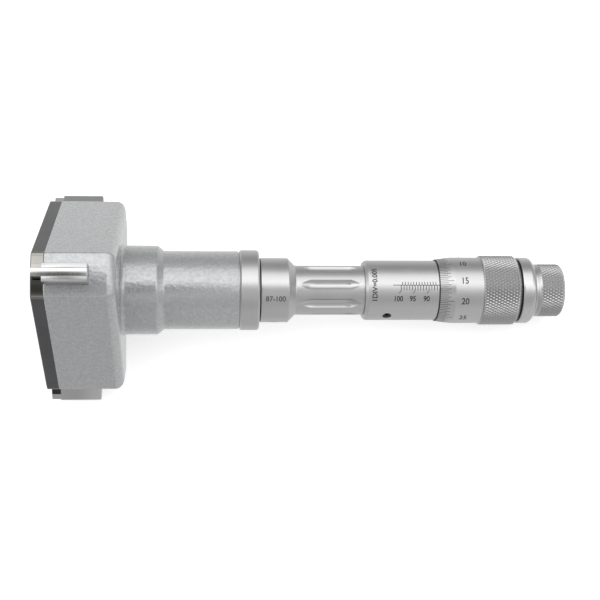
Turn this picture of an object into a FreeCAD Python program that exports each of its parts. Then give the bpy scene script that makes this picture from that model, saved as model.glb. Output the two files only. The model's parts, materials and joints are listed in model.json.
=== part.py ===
import FreeCAD, Part
import math
import os
from types import SimpleNamespace

import Sketcher

# Inside micrometer with three anvils, 87 to 100 mm, lying as it comes to rest.
# Each piece is drawn about the tool axis, which is local X: a station is the distance
# behind the face of the front plate, and local Z points along the first anvil.
# The last section turns and lifts the whole tool onto its resting edge.

V = FreeCAD.Vector

# Driving dimensions in millimetres and degrees
SIZES = (
    # head
    ("facet_distance", 35.8, "tool axis to each short side of the head"),
    ("facet_half_width", 7.4, "half the width of a short side"),
    ("plate_thickness", 4.3, "front plate"),
    ("plate_chamfer", 0.3, "front edge of the plate"),
    ("plate_skin", 0.85, "plate left in front of each anvil nose"),
    ("casting_length", 23.4, "six-sided part of the casting"),
    ("head_corner_radius", 0.8, "edges between the sides of the head"),
    ("head_back_radius", 3.2, "rear edge of the head"),
    ("collar_radius", 15.9, "collar behind the head"),
    ("collar_length", 12.55, "collar behind the head"),
    ("collar_root", 1.0, "bevel where the collar leaves the head"),
    ("step_length", 2.15, "cone from the collar to the neck"),
    ("neck_radius", 14.05, "neck"),
    ("neck_length", 25.9, "neck"),
    ("neck_chamfer", 0.4, "rear edge of the neck"),
    # plate screws
    ("screw_circle", 18.5, "tool axis to each plate screw"),
    ("screw_radius", 1.5, "plate screw thread"),
    ("screw_head_radius", 2.9, "plate screw head"),
    ("screw_length", 11.0, "plate screw, over all"),
    ("screw_slot_width", 0.8, "slot in the screw head"),
    ("screw_slot_depth", 0.7, "slot in the screw head"),
    # anvils
    ("contact_radius", 43.08, "tool axis to the contact crest at the resting reading"),
    ("anvil_width", 6.2, "anvil block across"),
    ("anvil_length", 14.5, "anvil block along the axis"),
    ("wing_radius", 42.31, "tool axis to the outer edge of the anvil's wings"),
    ("wing_rise", 0.37, "wings slope up to the strip by this"),
    ("anvil_root", 12.0, "tool axis to the underside of the block"),
    ("foot_front", 15.0, "station of the anvil foot's front"),
    ("foot_length", 11.6, "anvil foot along the axis"),
    ("foot_top", 17.0, "tool axis to the top of the foot behind the block"),
    ("ledge_depth", 5.6, "ledge over the anvil foot, below the head's short side"),
    ("nose_station", 0.9, "front of the anvil nose"),
    ("nose_depth", 8.8, "underside of the nose, below the head's short side"),
    ("notch_floor_gap", 1.0, "nose to the bottom of the plate notch"),
    ("notch_clearance", 0.35, "plate notch, each side of the nose"),
    ("strip_width", 2.7, "contact strip and nose across"),
    ("strip_height", 2.2, "contact strip from its seat to its crest"),
    ("strip_edge_radius", 1.2, "rounding along the contact strip"),
    ("slide_clearance", 0.05, "anvil in its slot, each side"),
    ("hairpin_width", 5.0, "anvil spring across"),
    ("hairpin_thickness", 0.5, "anvil spring leaf"),
    ("hairpin_gap", 0.2, "anvil spring to its seats"),
    # measuring cone and push rod
    ("cone_tip_station", 20.0, "front of the measuring cone"),
    ("cone_tip_radius", 2.6, "front of the measuring cone"),
    ("cone_length", 20.8, "slope of the measuring cone along the axis"),
    ("cone_slope", 0.5, "radius gained for each millimetre along the cone"),
    ("cone_land", 0.3, "straight edge behind the slope"),
    ("cone_contact_gap", 0.12, "oil gap between cone and anvil foot"),
    ("cone_bore_clearance", 0.2, "cone in the casting bore"),
    ("cone_hub_radius", 5.0, "hub behind the cone"),
    ("cone_hub_length", 2.9, "hub behind the cone"),
    ("cone_socket_depth", 8.6, "socket of the push rod"),
    ("rod_radius", 3.0, "push rod"),
    ("rod_end_setback", 6.9, "push rod's rear end, behind the start of the grip"),
    ("rod_collar_radius", 5.4, "spring collar on the push rod"),
    ("rod_collar_length", 2.0, "spring collar on the push rod"),
    ("rod_collar_setback", 2.0, "push rod behind its collar"),
    ("ball_radius", 2.0, "thrust ball"),
    ("ball_proud", 1.6, "thrust ball stands out of its socket"),
    ("bush_setback", 17.3, "guide bush, behind the six-sided part of the head"),
    ("bush_length", 12.0, "guide bush"),
    ("bush_radius", 7.0, "guide bush"),
    ("rod_spring_radius", 4.4, "middle of the wire of the rod spring"),
    ("rod_spring_wire", 0.8, "wire of the rod spring"),
    ("rod_spring_turns", 8.0, "turns of the rod spring"),
    ("spring_end_gap", 0.1, "coil spring to its seats"),
    # handle
    ("spigot_radius", 9.4, "front spigot of the grip body"),
    ("spigot_length", 11.0, "spigot inside the neck"),
    ("ring_radius", 14.4, "coupling ring"),
    ("ring_length", 7.0, "coupling ring"),
    ("ring_chamfer", 0.6, "edges of the coupling ring"),
    ("ring_lip_radius", 13.4, "narrow front lip of the ring"),
    ("ring_lip_length", 0.75, "narrow front lip of the ring"),
    ("front_sleeve_radius", 11.6, "front sleeve of the grip body"),
    ("front_sleeve_length", 10.4, "front sleeve of the grip body"),
    ("front_sleeve_edge", 0.3, "front edge of the front sleeve"),
    ("grip_cone_length", 2.65, "cone down to the grip"),
    ("grip_radius", 8.9, "fluted grip"),
    ("grip_length", 24.8, "fluted grip"),
    ("rear_spigot_radius", 7.93, "rear spigot of the grip body"),
    ("rear_spigot_length", 11.6, "rear spigot of the grip body"),
    ("spring_bore_radius", 5.7, "bore round the rod spring"),
    ("spindle_bore_radius", 4.4, "bore round the spindle"),
    ("spanner_hole_radius", 0.95, "spanner holes in the front sleeve"),
    ("spanner_hole_depth", 1.5, "spanner holes in the front sleeve"),
    ("spanner_hole_setback", 5.1, "spanner holes behind the sleeve's front edge"),
    ("flute_count", 8, "flutes round the grip"),
    ("flute_depth", 1.0, "flute"),
    ("flute_cutter_radius", 2.5, "radius of the flute's hollow"),
    ("flute_lead", 1.8, "grip left plain before and after the flutes"),
    ("flute_runout", 3.4, "pointed end of each flute"),
    ("flute_angle", 5.0, "first flute, from the first anvil"),
    # sleeve
    ("sleeve_radius", 10.85, "graduated sleeve"),
    ("sleeve_chamfer_length", 0.95, "front edge of the sleeve"),
    ("sleeve_chamfer_depth", 0.6, "front edge of the sleeve"),
    ("sleeve_visible", 26.34, "sleeve in front of the thimble at rest"),
    ("sleeve_overlap", 7.6, "sleeve inside the thimble at rest"),
    ("sleeve_nut_bore_radius", 9.35, "rear counterbore of the sleeve"),
    ("sleeve_nut_bore_depth", 4.6, "rear counterbore of the sleeve"),
    ("grub_setback", 8.1, "grub screw behind the sleeve's front edge"),
    ("grub_angle", -66.0, "grub screw, from the first anvil"),
    ("grub_radius", 1.6, "grub screw"),
    ("grub_recess", 0.55, "grub screw below the sleeve's surface"),
    ("grub_socket_radius", 0.8, "hexagon socket, corner to middle"),
    ("grub_socket_depth", 0.9, "hexagon socket"),
    # spindle and nuts
    ("nut_front_gap", 0.5, "grip body to spindle nut"),
    ("nut_tail_radius", 6.4, "threaded tail of the spindle nut"),
    ("nut_tail_inset", 0.6, "tail ends inside the sleeve by this"),
    ("nut_slot_width", 0.8, "closing slots in the nut's tail"),
    ("thread_radius", 4.0, "spindle thread"),
    ("shank_radius", 3.4, "plain front of the spindle"),
    ("shank_length", 19.0, "plain front of the spindle"),
    ("adjuster_radius", 9.2, "adjusting nut"),
    ("adjuster_slot_width", 1.6, "spanner slots in the adjusting nut"),
    ("adjuster_slot_depth", 1.4, "spanner slots in the adjusting nut"),
    ("taper_front_radius", 6.2, "thimble seat on the spindle"),
    ("taper_rear_radius", 5.6, "thimble seat on the spindle"),
    ("spindle_tail_radius", 3.0, "seat of the ratchet disc"),
    ("spindle_tail_length", 2.8, "seat of the ratchet disc"),
    ("tapped_depth", 11.0, "thread for the ratchet screw"),
    # thimble
    ("cone_travel", 14.0, "travel of cone and thimble along the axis"),
    ("thimble_end_gap", 0.8, "sleeve to the thimble's inner wall at full travel"),
    ("thimble_edge_radius", 11.2, "thimble at its scale edge"),
    ("thimble_bevel_length", 5.8, "bevelled scale of the thimble"),
    ("thimble_radius", 12.0, "thimble"),
    ("thimble_body_length", 10.4, "plain thimble behind the bevel"),
    ("knurl_radius", 12.6, "knurled band over its crests"),
    ("knurl_length", 12.5, "knurled band"),
    ("knurl_chamfer", 0.4, "front edge of the band"),
    ("thimble_back_length", 1.15, "rear edge of the band"),
    ("thimble_back_drop", 1.1, "rear edge of the band"),
    ("running_clearance", 0.05, "running fits, on radius"),
    ("seat_clearance", 0.02, "seated fits, on radius"),
    # ratchet
    ("washer_radius", 11.2, "dark washer behind the thimble"),
    ("washer_thickness", 0.5, "dark washer behind the thimble"),
    ("flange_radius", 12.05, "ratchet flange"),
    ("flange_length", 5.5, "ratchet flange"),
    ("flange_edge", 0.3, "front edge of the flange"),
    ("flange_shoulder", 2.1, "rounded rear shoulder of the flange, both ways"),
    ("flange_round_setback", 0.8, "middle of the rounding, from the flange's rear face"),
    ("flange_round_drop", 0.46, "middle of the rounding, below the flange's rim"),
    ("ratchet_neck_radius", 9.2, "neck behind the flange"),
    ("ratchet_neck_length", 0.75, "neck behind the flange"),
    ("ratchet_tube_radius", 7.6, "tube inside the knob"),
    ("ratchet_bore_radius", 6.4, "bore of the ratchet body"),
    ("knob_radius", 9.6, "ratchet knob over its crests"),
    ("knob_length", 9.85, "ratchet knob"),
    ("knob_front_length", 1.3, "front edge of the knob"),
    ("knob_end_bevel", 0.8, "rear edge of the knob"),
    ("knob_wall", 1.7, "end wall of the knob"),
    ("knob_tube_gap", 0.8, "tube to the knob's end wall"),
    ("disc_radius", 6.0, "ratchet disc"),
    ("disc_thickness", 1.5, "ratchet disc without its teeth"),
    ("tooth_height", 0.5, "ratchet teeth"),
    ("tooth_count", 8, "ratchet teeth"),
    ("tooth_inner_radius", 3.9, "inner ends of the ratchet teeth"),
    ("tooth_outer_radius", 5.5, "outer ends of the ratchet teeth"),
    ("tooth_half_width", 1.5, "half of a ratchet tooth along the ring"),
    ("tooth_gap", 0.2, "disc teeth to pawl teeth"),
    ("pawl_radius", 6.3, "pawl disc"),
    ("ratchet_screw_radius", 1.5, "ratchet screw"),
    ("ratchet_screw_hole", 1.7, "pawl disc round the screw"),
    ("ratchet_head_radius", 4.9, "ratchet screw head"),
    ("ratchet_head_height", 1.6, "ratchet screw head"),
    ("ratchet_head_inset", 0.4, "screw head inside the tube"),
    ("ratchet_spring_radius", 3.2, "middle of the wire of the ratchet spring"),
    ("ratchet_spring_wire", 0.7, "wire of the ratchet spring"),
    ("ratchet_spring_turns", 4.0, "turns of the ratchet spring"),
)

ANVIL_ANGLES = {1: 0.0, 2: 120.0, 3: -120.0}
ANVIL_COUNT = len(ANVIL_ANGLES)
NUT_SLOTS = 3
SPANNER_HOLES = 2
COIL_STEPS_PER_TURN = 8
OVERCUT = 2.0
OVERLAP = 1.0

document = FreeCAD.newDocument("inside_micrometer")
sheet = document.addObject("Spreadsheet::Sheet", "Sizes")


class Size:
    """A length or an angle: its number, and the sheet formula that gives the same number."""

    def __init__(self, number, formula=None):
        self.number = float(number)
        self.formula = repr(float(number)) if formula is None else formula

    def _with(self, other, sign, number, swap=False):
        left, right = (other, self) if swap else (self, other)
        return Size(number, f"({left.formula} {sign} {right.formula})")

    def __add__(self, other):
        other = as_size(other)
        return self._with(other, "+", self.number + other.number)

    def __sub__(self, other):
        other = as_size(other)
        return self._with(other, "-", self.number - other.number)

    def __mul__(self, other):
        other = as_size(other)
        return self._with(other, "*", self.number * other.number)

    def __truediv__(self, other):
        other = as_size(other)
        return self._with(other, "/", self.number / other.number)

    def __rsub__(self, other):
        return as_size(other) - self

    def __neg__(self):
        return self * -1

    __radd__ = __add__
    __rmul__ = __mul__


def as_size(value):
    return value if isinstance(value, Size) else Size(value)


def sine(angle):
    return Size(math.sin(math.radians(angle.number)), f"sin({angle.formula})")


def cosine(angle):
    return Size(math.cos(math.radians(angle.number)), f"cos({angle.formula})")


def arc_tangent(ratio):
    return Size(math.degrees(math.atan(ratio.number)), f"atan({ratio.formula})")


def arc_sine(ratio):
    return Size(math.degrees(math.asin(ratio.number)), f"asin({ratio.formula})")


def root_of_squares(a, b):
    square = a * a + b * b
    return Size(math.sqrt(square.number), f"sqrt({square.formula})")


def write_sheet():
    """Put each driving dimension in a row of the sheet and return them by name."""
    named = {}
    for row, (name, number, meaning) in enumerate(SIZES, start=1):
        sheet.set(f"A{row}", name)
        sheet.set(f"B{row}", str(number))
        sheet.set(f"C{row}", meaning)
        sheet.setAlias(f"B{row}", name)
        named[name] = Size(number, f"Sizes.{name}")
    document.recompute()
    return SimpleNamespace(**named)


d = write_sheet()


# Stations and radii that pieces share
head_back = d.plate_thickness + d.casting_length
collar_end = head_back + d.collar_length
step_end = collar_end + d.step_length
neck_end = step_end + d.neck_length
spigot_front = neck_end - d.spigot_length
ring_end = neck_end + d.ring_lip_length + d.ring_length
front_sleeve_end = ring_end + d.front_sleeve_length
grip_start = front_sleeve_end + d.grip_cone_length
grip_end = grip_start + d.grip_length
rear_spigot_end = grip_end + d.rear_spigot_length
thimble_edge = grip_end + d.sleeve_visible
sleeve_end = thimble_edge + d.sleeve_overlap
sleeve_counterbore = sleeve_end - d.sleeve_nut_bore_depth
sleeve_bore = d.rear_spigot_radius + d.seat_clearance
bevel_end = thimble_edge + d.thimble_bevel_length
knurl_start = bevel_end + d.thimble_body_length
knurl_end = knurl_start + d.knurl_length
thimble_back = knurl_end + d.thimble_back_length
thimble_web = sleeve_end + d.cone_travel + d.thimble_end_gap
thimble_bore = d.sleeve_radius + d.running_clearance * 2
washer_back = thimble_back + d.washer_thickness
flange_start = washer_back + d.running_clearance
flange_end = flange_start + d.flange_length
knob_start = flange_end + d.ratchet_neck_length
knob_end = knob_start + d.knob_length
knob_wall_front = knob_end - d.knob_wall
tube_end = knob_wall_front - d.knob_tube_gap
anvil_front = d.plate_thickness + d.slide_clearance
anvil_back = anvil_front + d.anvil_length
foot_back = d.foot_front + d.foot_length
strip_seat = d.contact_radius - d.strip_height
cone_base = d.cone_tip_station + d.cone_length
cone_radius = d.cone_tip_radius + d.cone_length * d.cone_slope
cone_back = cone_base + d.cone_land
hub_back = cone_back + d.cone_hub_length
cone_bore = cone_radius + d.cone_bore_clearance
cone_bore_end = cone_back + d.cone_bore_clearance * 2
slot_ledge = d.facet_distance - d.ledge_depth
nose_root = d.facet_distance - d.nose_depth
notch_root = nose_root - d.notch_floor_gap
bush_front = head_back + d.bush_setback
bush_back = bush_front + d.bush_length
rod_bore = d.rod_radius + d.running_clearance
rod_end = grip_start + d.rod_end_setback
ball_end = rod_end + d.ball_proud
ball_socket = ball_end - d.ball_radius * 2
rod_collar_back = rod_end - d.rod_collar_setback
rod_collar_front = rod_collar_back - d.rod_collar_length
spring_bore_end = ball_end + d.running_clearance
spindle_front = ball_end + d.running_clearance
shank_end = spindle_front + d.shank_length
spindle_back = thimble_back + d.spindle_tail_length
nut_front = rear_spigot_end + d.nut_front_gap
nut_tail_end = sleeve_end - d.nut_tail_inset
disc_front = spindle_back - d.disc_thickness
disc_crest = spindle_back + d.tooth_height
pawl_crest = disc_crest + d.tooth_gap
pawl_front = pawl_crest + d.tooth_height
pawl_back = pawl_front + d.disc_thickness
screw_head_back = tube_end - d.ratchet_head_inset
screw_head_front = screw_head_back - d.ratchet_head_height


# Drawing

def bind(thing, prop, size):
    thing.setExpression(prop, size.formula)


def new_body(label):
    body = document.addObject("PartDesign::Body", label)
    body.Label = label
    return body


def origin_feature(body, role):
    return next(feature for feature in body.Origin.OriginFeatures if feature.Role == role)


def new_sketch(body, plane, out=None, up=None):
    """A sketch on one of the body's own planes, moved out along its normal and up in itself."""
    sketch = body.newObject("Sketcher::SketchObject", f"{body.Label}_sketch")
    sketch.AttachmentSupport = [(origin_feature(body, plane), "")]
    sketch.MapMode = "FlatFace"
    if out is not None:
        bind(sketch, "AttachmentOffset.Base.z", out)
    if up is not None:
        bind(sketch, "AttachmentOffset.Base.y", up)
    return sketch


def draw_outline(sketch, points):
    """A closed outline through the points, each tied to the sheet by its two coordinates."""
    places = [(as_size(u), as_size(v)) for u, v in points]
    vectors = [V(u.number, v.number, 0) for u, v in places]
    count = len(places)
    lines = [Part.LineSegment(vectors[i], vectors[(i + 1) % count]) for i in range(count)]
    sketch.addGeometry(lines)
    joins = [Sketcher.Constraint("Coincident", i, 2, (i + 1) % count, 1) for i in range(count)]
    sketch.addConstraint(joins)
    for i, (u, v) in enumerate(places):
        for kind, size in (("DistanceX", u), ("DistanceY", v)):
            row = sketch.addConstraint(Sketcher.Constraint(kind, i, 1, size.number))
            bind(sketch, f"Constraints[{row}]", size)


def draw_circle(sketch, u, v, radius):
    centre = V(as_size(u).number, as_size(v).number, 0)
    sketch.addGeometry(Part.Circle(centre, V(0, 0, 1), radius.number))
    for kind, size in (("DistanceX", as_size(u)), ("DistanceY", as_size(v))):
        row = sketch.addConstraint(Sketcher.Constraint(kind, 0, 3, size.number))
        bind(sketch, f"Constraints[{row}]", size)
    row = sketch.addConstraint(Sketcher.Constraint("Radius", 0, radius.number))
    bind(sketch, f"Constraints[{row}]", radius)


def rectangle(left, bottom, right, top):
    return [(left, bottom), (right, bottom), (right, top), (left, top)]


def turn(body, points, kind="Revolution", up=None):
    """Revolve an outline of (station, radius) about the tool axis, or about a line up from it."""
    plane = "XY_Plane" if up is None else "XZ_Plane"
    sketch = new_sketch(body, plane, up=up)
    draw_outline(sketch, points)
    feature = body.newObject(f"PartDesign::{kind}", f"{body.Label}_{kind}")
    feature.Profile = sketch
    feature.ReferenceAxis = (sketch, ["H_Axis"])
    feature.Angle = 360
    document.recompute()
    return feature


def extrude(body, kind, plane, draw, length, out=None, symmetric=False, reverse=False):
    """Pad or pocket a sketch that draw fills in."""
    sketch = new_sketch(body, plane, out=out)
    draw(sketch)
    feature = body.newObject(f"PartDesign::{kind}", f"{body.Label}_{kind}")
    feature.Profile = sketch
    if symmetric:
        feature.SideType = "Symmetric"
    feature.Reversed = reverse
    bind(feature, "Length", length)
    document.recompute()
    return feature


def pattern(body, features, count):
    """Repeat features round the tool axis."""
    repeat = body.newObject("PartDesign::PolarPattern", f"{body.Label}_pattern")
    repeat.Originals = features
    repeat.Axis = (origin_feature(body, "X_Axis"), [""])
    repeat.Angle = 360
    repeat.Occurrences = count
    body.Tip = repeat
    document.recompute()
    return repeat


def soften(body, kind, prop, size, wanted):
    """Fillet or chamfer the edges of the body that the test picks."""
    base = body.Tip
    names = [f"Edge{i}" for i, edge in enumerate(base.Shape.Edges, start=1) if wanted(edge)]
    if not names:
        raise RuntimeError(f"{body.Label} has no edge to soften")
    feature = body.newObject(f"PartDesign::{kind}", f"{body.Label}_{kind}")
    feature.Base = (base, names)
    bind(feature, prop, size)
    body.Tip = feature
    document.recompute()
    return feature


def same(a, b):
    return abs(a - b) < 1e-4


def edge_at_station(edge, station):
    box = edge.BoundBox
    return same(box.XMin, station.number) and same(box.XMax, station.number)


def head_corners():
    """The six corners of the head's outline as (Y, Z), two for each short side."""
    corners = []
    for angle in sorted(ANVIL_ANGLES.values()):
        out_y = math.sin(math.radians(angle))
        out_z = math.cos(math.radians(angle))
        for side in (-1, 1):
            half = d.facet_half_width * side
            corners.append((d.facet_distance * out_y + half * out_z,
                            d.facet_distance * out_z - half * out_y))
    return corners


def draw_head(sketch):
    draw_outline(sketch, head_corners())


def round_head_corners(body, near, far):
    """Round the six edges that run along the head."""
    corner_radius = root_of_squares(d.facet_distance, d.facet_half_width).number

    def runs_along(edge):
        box = edge.BoundBox
        middle = edge.CenterOfMass
        at_corner = same(math.hypot(middle.y, middle.z), corner_radius)
        return at_corner and same(box.XMin, near.number) and same(box.XMax, far.number)

    soften(body, "Fillet", "Radius", d.head_corner_radius, runs_along)


# Head

def make_head_casting():
    body = new_body("head_casting")
    extrude(body, "Pad", "YZ_Plane", draw_head, d.casting_length, out=d.plate_thickness)
    round_head_corners(body, d.plate_thickness, head_back)
    soften(body, "Fillet", "Radius", d.head_back_radius,
           lambda edge: edge_at_station(edge, head_back))
    turn(body, [
        (head_back - OVERLAP, 0),
        (head_back - OVERLAP, d.collar_radius + d.collar_root),
        (head_back, d.collar_radius + d.collar_root),
        (head_back + d.collar_root, d.collar_radius),
        (collar_end, d.collar_radius),
        (step_end, d.neck_radius),
        (neck_end - d.neck_chamfer, d.neck_radius),
        (neck_end, d.neck_radius - d.neck_chamfer),
        (neck_end, 0),
    ])
    # one stepped bore for the cone, the guide bush and the spigot of the grip
    turn(body, [
        (d.plate_thickness - OVERCUT, 0),
        (d.plate_thickness - OVERCUT, cone_bore),
        (cone_bore_end, cone_bore),
        (cone_bore_end, d.bush_radius + d.seat_clearance),
        (bush_back, d.bush_radius + d.seat_clearance),
        (bush_back, d.spigot_radius + d.seat_clearance),
        (neck_end + OVERCUT, d.spigot_radius + d.seat_clearance),
        (neck_end + OVERCUT, 0),
    ], kind="Groove")
    slot_back = anvil_back + d.slide_clearance
    slot_floor = foot_back + d.slide_clearance
    slot_front = d.plate_thickness - OVERCUT
    slot = extrude(body, "Pocket", "XZ_Plane", lambda sketch: draw_outline(sketch, [
        (slot_front, 0),
        (slot_front, d.facet_distance + OVERCUT),
        (slot_back, d.facet_distance + OVERCUT),
        (slot_back, slot_ledge),
        (slot_floor, slot_ledge),
        (slot_floor, 0),
    ]), d.anvil_width + d.slide_clearance * 2, symmetric=True)
    pattern(body, [slot], ANVIL_COUNT)
    hole = extrude(body, "Pocket", "YZ_Plane", lambda sketch: draw_circle(
        sketch, 0, -d.screw_circle, d.screw_radius + d.seat_clearance),
        d.screw_length, out=d.plate_thickness, reverse=True)
    pattern(body, [hole], ANVIL_COUNT)
    return body


def make_front_plate():
    body = new_body("front_plate")
    extrude(body, "Pad", "YZ_Plane", draw_head, d.plate_thickness)
    round_head_corners(body, as_size(0), d.plate_thickness)
    soften(body, "Chamfer", "Size", d.plate_chamfer, lambda edge: edge_at_station(edge, as_size(0)))
    half = d.strip_width / 2 + d.notch_clearance
    notch = extrude(body, "Pocket", "YZ_Plane", lambda sketch: draw_outline(sketch, rectangle(
        -half, notch_root, half, d.facet_distance + OVERCUT)),
        d.plate_thickness - d.plate_skin, out=d.plate_thickness)
    pattern(body, [notch], ANVIL_COUNT)
    hole_radius = d.screw_radius + d.running_clearance
    hole = extrude(body, "Pocket", "YZ_Plane", lambda sketch: draw_circle(
        sketch, 0, -d.screw_circle, hole_radius), d.plate_thickness, out=d.plate_thickness)
    pattern(body, [hole], ANVIL_COUNT)
    soften(body, "Chamfer", "Size", d.screw_head_radius - d.screw_radius,
           lambda edge: edge_at_station(edge, as_size(0)) and edge.isClosed())
    return body


def make_plate_screws():
    """Three countersunk screws, each turned about its own line below the tool axis."""
    body = new_body("front_plate_screws")
    head_front = d.running_clearance * 2
    head_height = d.screw_head_radius - d.screw_radius
    screw = turn(body, [
        (head_front, 0),
        (head_front, d.screw_head_radius - head_front),
        (head_height, d.screw_radius),
        (d.screw_length, d.screw_radius),
        (d.screw_length, 0),
    ], up=-d.screw_circle)
    half = d.screw_slot_width / 2
    reach = d.screw_head_radius
    slot = extrude(body, "Pocket", "YZ_Plane", lambda sketch: draw_outline(sketch, rectangle(
        -reach, -d.screw_circle - half, reach, -d.screw_circle + half)),
        d.screw_slot_depth, out=head_front + d.screw_slot_depth)
    pattern(body, [screw, slot], ANVIL_COUNT)
    return body


# Anvils, drawn for the one that points along local Z

def make_anvil(number):
    body = new_body(f"anvil_{number}")
    foot_radius = d.cone_tip_radius + d.cone_contact_gap
    foot_rise = (foot_back - d.cone_tip_station) * d.cone_slope
    extrude(body, "Pad", "XZ_Plane", lambda sketch: draw_outline(sketch, [
        (anvil_front, d.anvil_root),
        (d.foot_front, d.anvil_root),
        (d.foot_front, foot_radius),
        (d.cone_tip_station, foot_radius),
        (foot_back, foot_radius + foot_rise),
        (foot_back, d.foot_top),
        (anvil_back, d.foot_top),
        (anvil_back, d.wing_radius),
        (anvil_front, d.wing_radius),
    ]), d.anvil_width, symmetric=True)
    half = d.anvil_width / 2
    strip_half = d.strip_width / 2
    crown = d.wing_radius + d.wing_rise
    extrude(body, "Pad", "YZ_Plane", lambda sketch: draw_outline(sketch, [
        (-half, d.wing_radius - OVERLAP),
        (half, d.wing_radius - OVERLAP),
        (half, d.wing_radius),
        (strip_half, crown),
        (-strip_half, crown),
        (-half, d.wing_radius),
    ]), d.anvil_length, out=anvil_front)
    extrude(body, "Pad", "XZ_Plane", lambda sketch: draw_outline(sketch, rectangle(
        d.nose_station, nose_root, anvil_front + OVERLAP, strip_seat)),
        d.strip_width, symmetric=True)
    groove_half = strip_half + d.seat_clearance
    extrude(body, "Pocket", "YZ_Plane", lambda sketch: draw_outline(sketch, rectangle(
        -groove_half, strip_seat, groove_half, d.contact_radius + OVERCUT)),
        d.anvil_length + OVERCUT * 2, out=anvil_front - OVERCUT, reverse=True)
    return body


def make_contact_strip(number):
    body = new_body(f"contact_strip_{number}")
    half = d.strip_width / 2
    extrude(body, "Pad", "YZ_Plane", lambda sketch: draw_outline(sketch, rectangle(
        -half, strip_seat, half, d.contact_radius)),
        anvil_back - d.nose_station, out=d.nose_station)

    def is_crest(edge):
        box = edge.BoundBox
        return same(box.ZMin, d.contact_radius.number) and box.XLength > 1

    soften(body, "Fillet", "Radius", d.strip_edge_radius, is_crest)
    return body


def make_return_spring(number):
    """A hairpin leaf between the anvil foot and the ledge of its slot."""
    body = new_body(f"return_spring_{number}")
    low = d.foot_top + d.hairpin_gap
    high = slot_ledge - d.hairpin_gap
    middle = (low + high) / 2
    bend = anvil_back + d.hairpin_gap
    tips = foot_back - d.hairpin_gap
    extrude(body, "Pad", "XZ_Plane", lambda sketch: draw_outline(sketch, [
        (tips, low),
        (bend, middle),
        (tips, high),
        (tips, high - d.hairpin_thickness),
        (bend + d.hairpin_thickness, middle),
        (tips, low + d.hairpin_thickness),
    ]), d.hairpin_width, symmetric=True)
    return body


# Measuring cone, push rod and what guides them

def make_measuring_cone():
    body = new_body("measuring_cone")
    socket = d.rod_radius + d.seat_clearance
    turn(body, [
        (d.cone_tip_station, 0),
        (d.cone_tip_station, d.cone_tip_radius),
        (cone_base, cone_radius),
        (cone_back, cone_radius),
        (cone_back, d.cone_hub_radius),
        (hub_back, d.cone_hub_radius),
        (hub_back, socket),
        (hub_back - d.cone_socket_depth, socket),
        (hub_back - d.cone_socket_depth, 0),
    ])
    return body


def make_push_rod():
    body = new_body("push_rod")
    socket = d.ball_radius + d.seat_clearance
    rod_front = hub_back - d.cone_socket_depth + d.seat_clearance
    turn(body, [
        (rod_front, 0),
        (rod_front, d.rod_radius),
        (rod_collar_front, d.rod_radius),
        (rod_collar_front, d.rod_collar_radius),
        (rod_collar_back, d.rod_collar_radius),
        (rod_collar_back, d.rod_radius),
        (rod_end, d.rod_radius),
        (rod_end, socket),
        (ball_socket, socket),
        (ball_socket, 0),
    ])
    return body


def make_thrust_ball():
    ball = document.addObject("Part::Sphere", "thrust_ball")
    ball.Label = "thrust_ball"
    bind(ball, "Radius", d.ball_radius)
    document.recompute()
    return ball


def make_guide_bush():
    body = new_body("guide_bush")
    turn(body, [
        (bush_front, rod_bore),
        (bush_front, d.bush_radius),
        (bush_back, d.bush_radius),
        (bush_back, rod_bore),
    ])
    return body


def coil_points(start, end, radius, turns):
    """Points along a helix about the tool axis, at equal steps of turn."""
    steps = round(turns * COIL_STEPS_PER_TURN)
    points = []
    for step in range(steps + 1):
        angle = 2 * math.pi * step / COIL_STEPS_PER_TURN
        along = start + (end - start) * step / steps
        points.append((along, radius, angle))
    return points


def make_coil_spring(label, start, end, radius, wire, turns):
    """A coil of square-section wire, skinned with flat triangles between its stations."""
    spring = document.addObject("Part::Feature", label)
    spring.Label = label
    half = wire.number / 2
    corners = ((-half, -half), (half, -half), (half, half), (-half, half))
    sections = []
    for along, middle, angle in coil_points(start.number + half, end.number - half,
                                            radius.number, turns.number):
        section = []
        for shift, grow in corners:
            reach = middle + grow
            section.append(V(along + shift, -reach * math.sin(angle), reach * math.cos(angle)))
        sections.append(section)
    faces = []

    def triangle(a, b, c):
        faces.append(Part.Face(Part.makePolygon([a, b, c, a])))

    for first, second in zip(sections, sections[1:]):
        for i in range(4):
            j = (i + 1) % 4
            triangle(first[i], first[j], second[j])
            triangle(first[i], second[j], second[i])
    for cap in (sections[0], sections[-1]):
        triangle(cap[0], cap[1], cap[2])
        triangle(cap[0], cap[2], cap[3])
    solid = Part.Solid(Part.Shell(faces))
    if solid.Volume < 0:
        solid.reverse()
    spring.Shape = solid
    return spring


# Handle

def make_coupling_ring():
    body = new_body("coupling_ring")
    bore = d.spigot_radius + d.seat_clearance
    lip_end = neck_end + d.ring_lip_length
    turn(body, [
        (neck_end, bore),
        (neck_end, d.ring_lip_radius),
        (lip_end, d.ring_lip_radius),
        (lip_end, d.ring_radius - d.ring_chamfer),
        (lip_end + d.ring_chamfer, d.ring_radius),
        (ring_end - d.ring_chamfer, d.ring_radius),
        (ring_end, d.ring_radius - d.ring_chamfer),
        (ring_end, bore),
    ])
    return body


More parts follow.
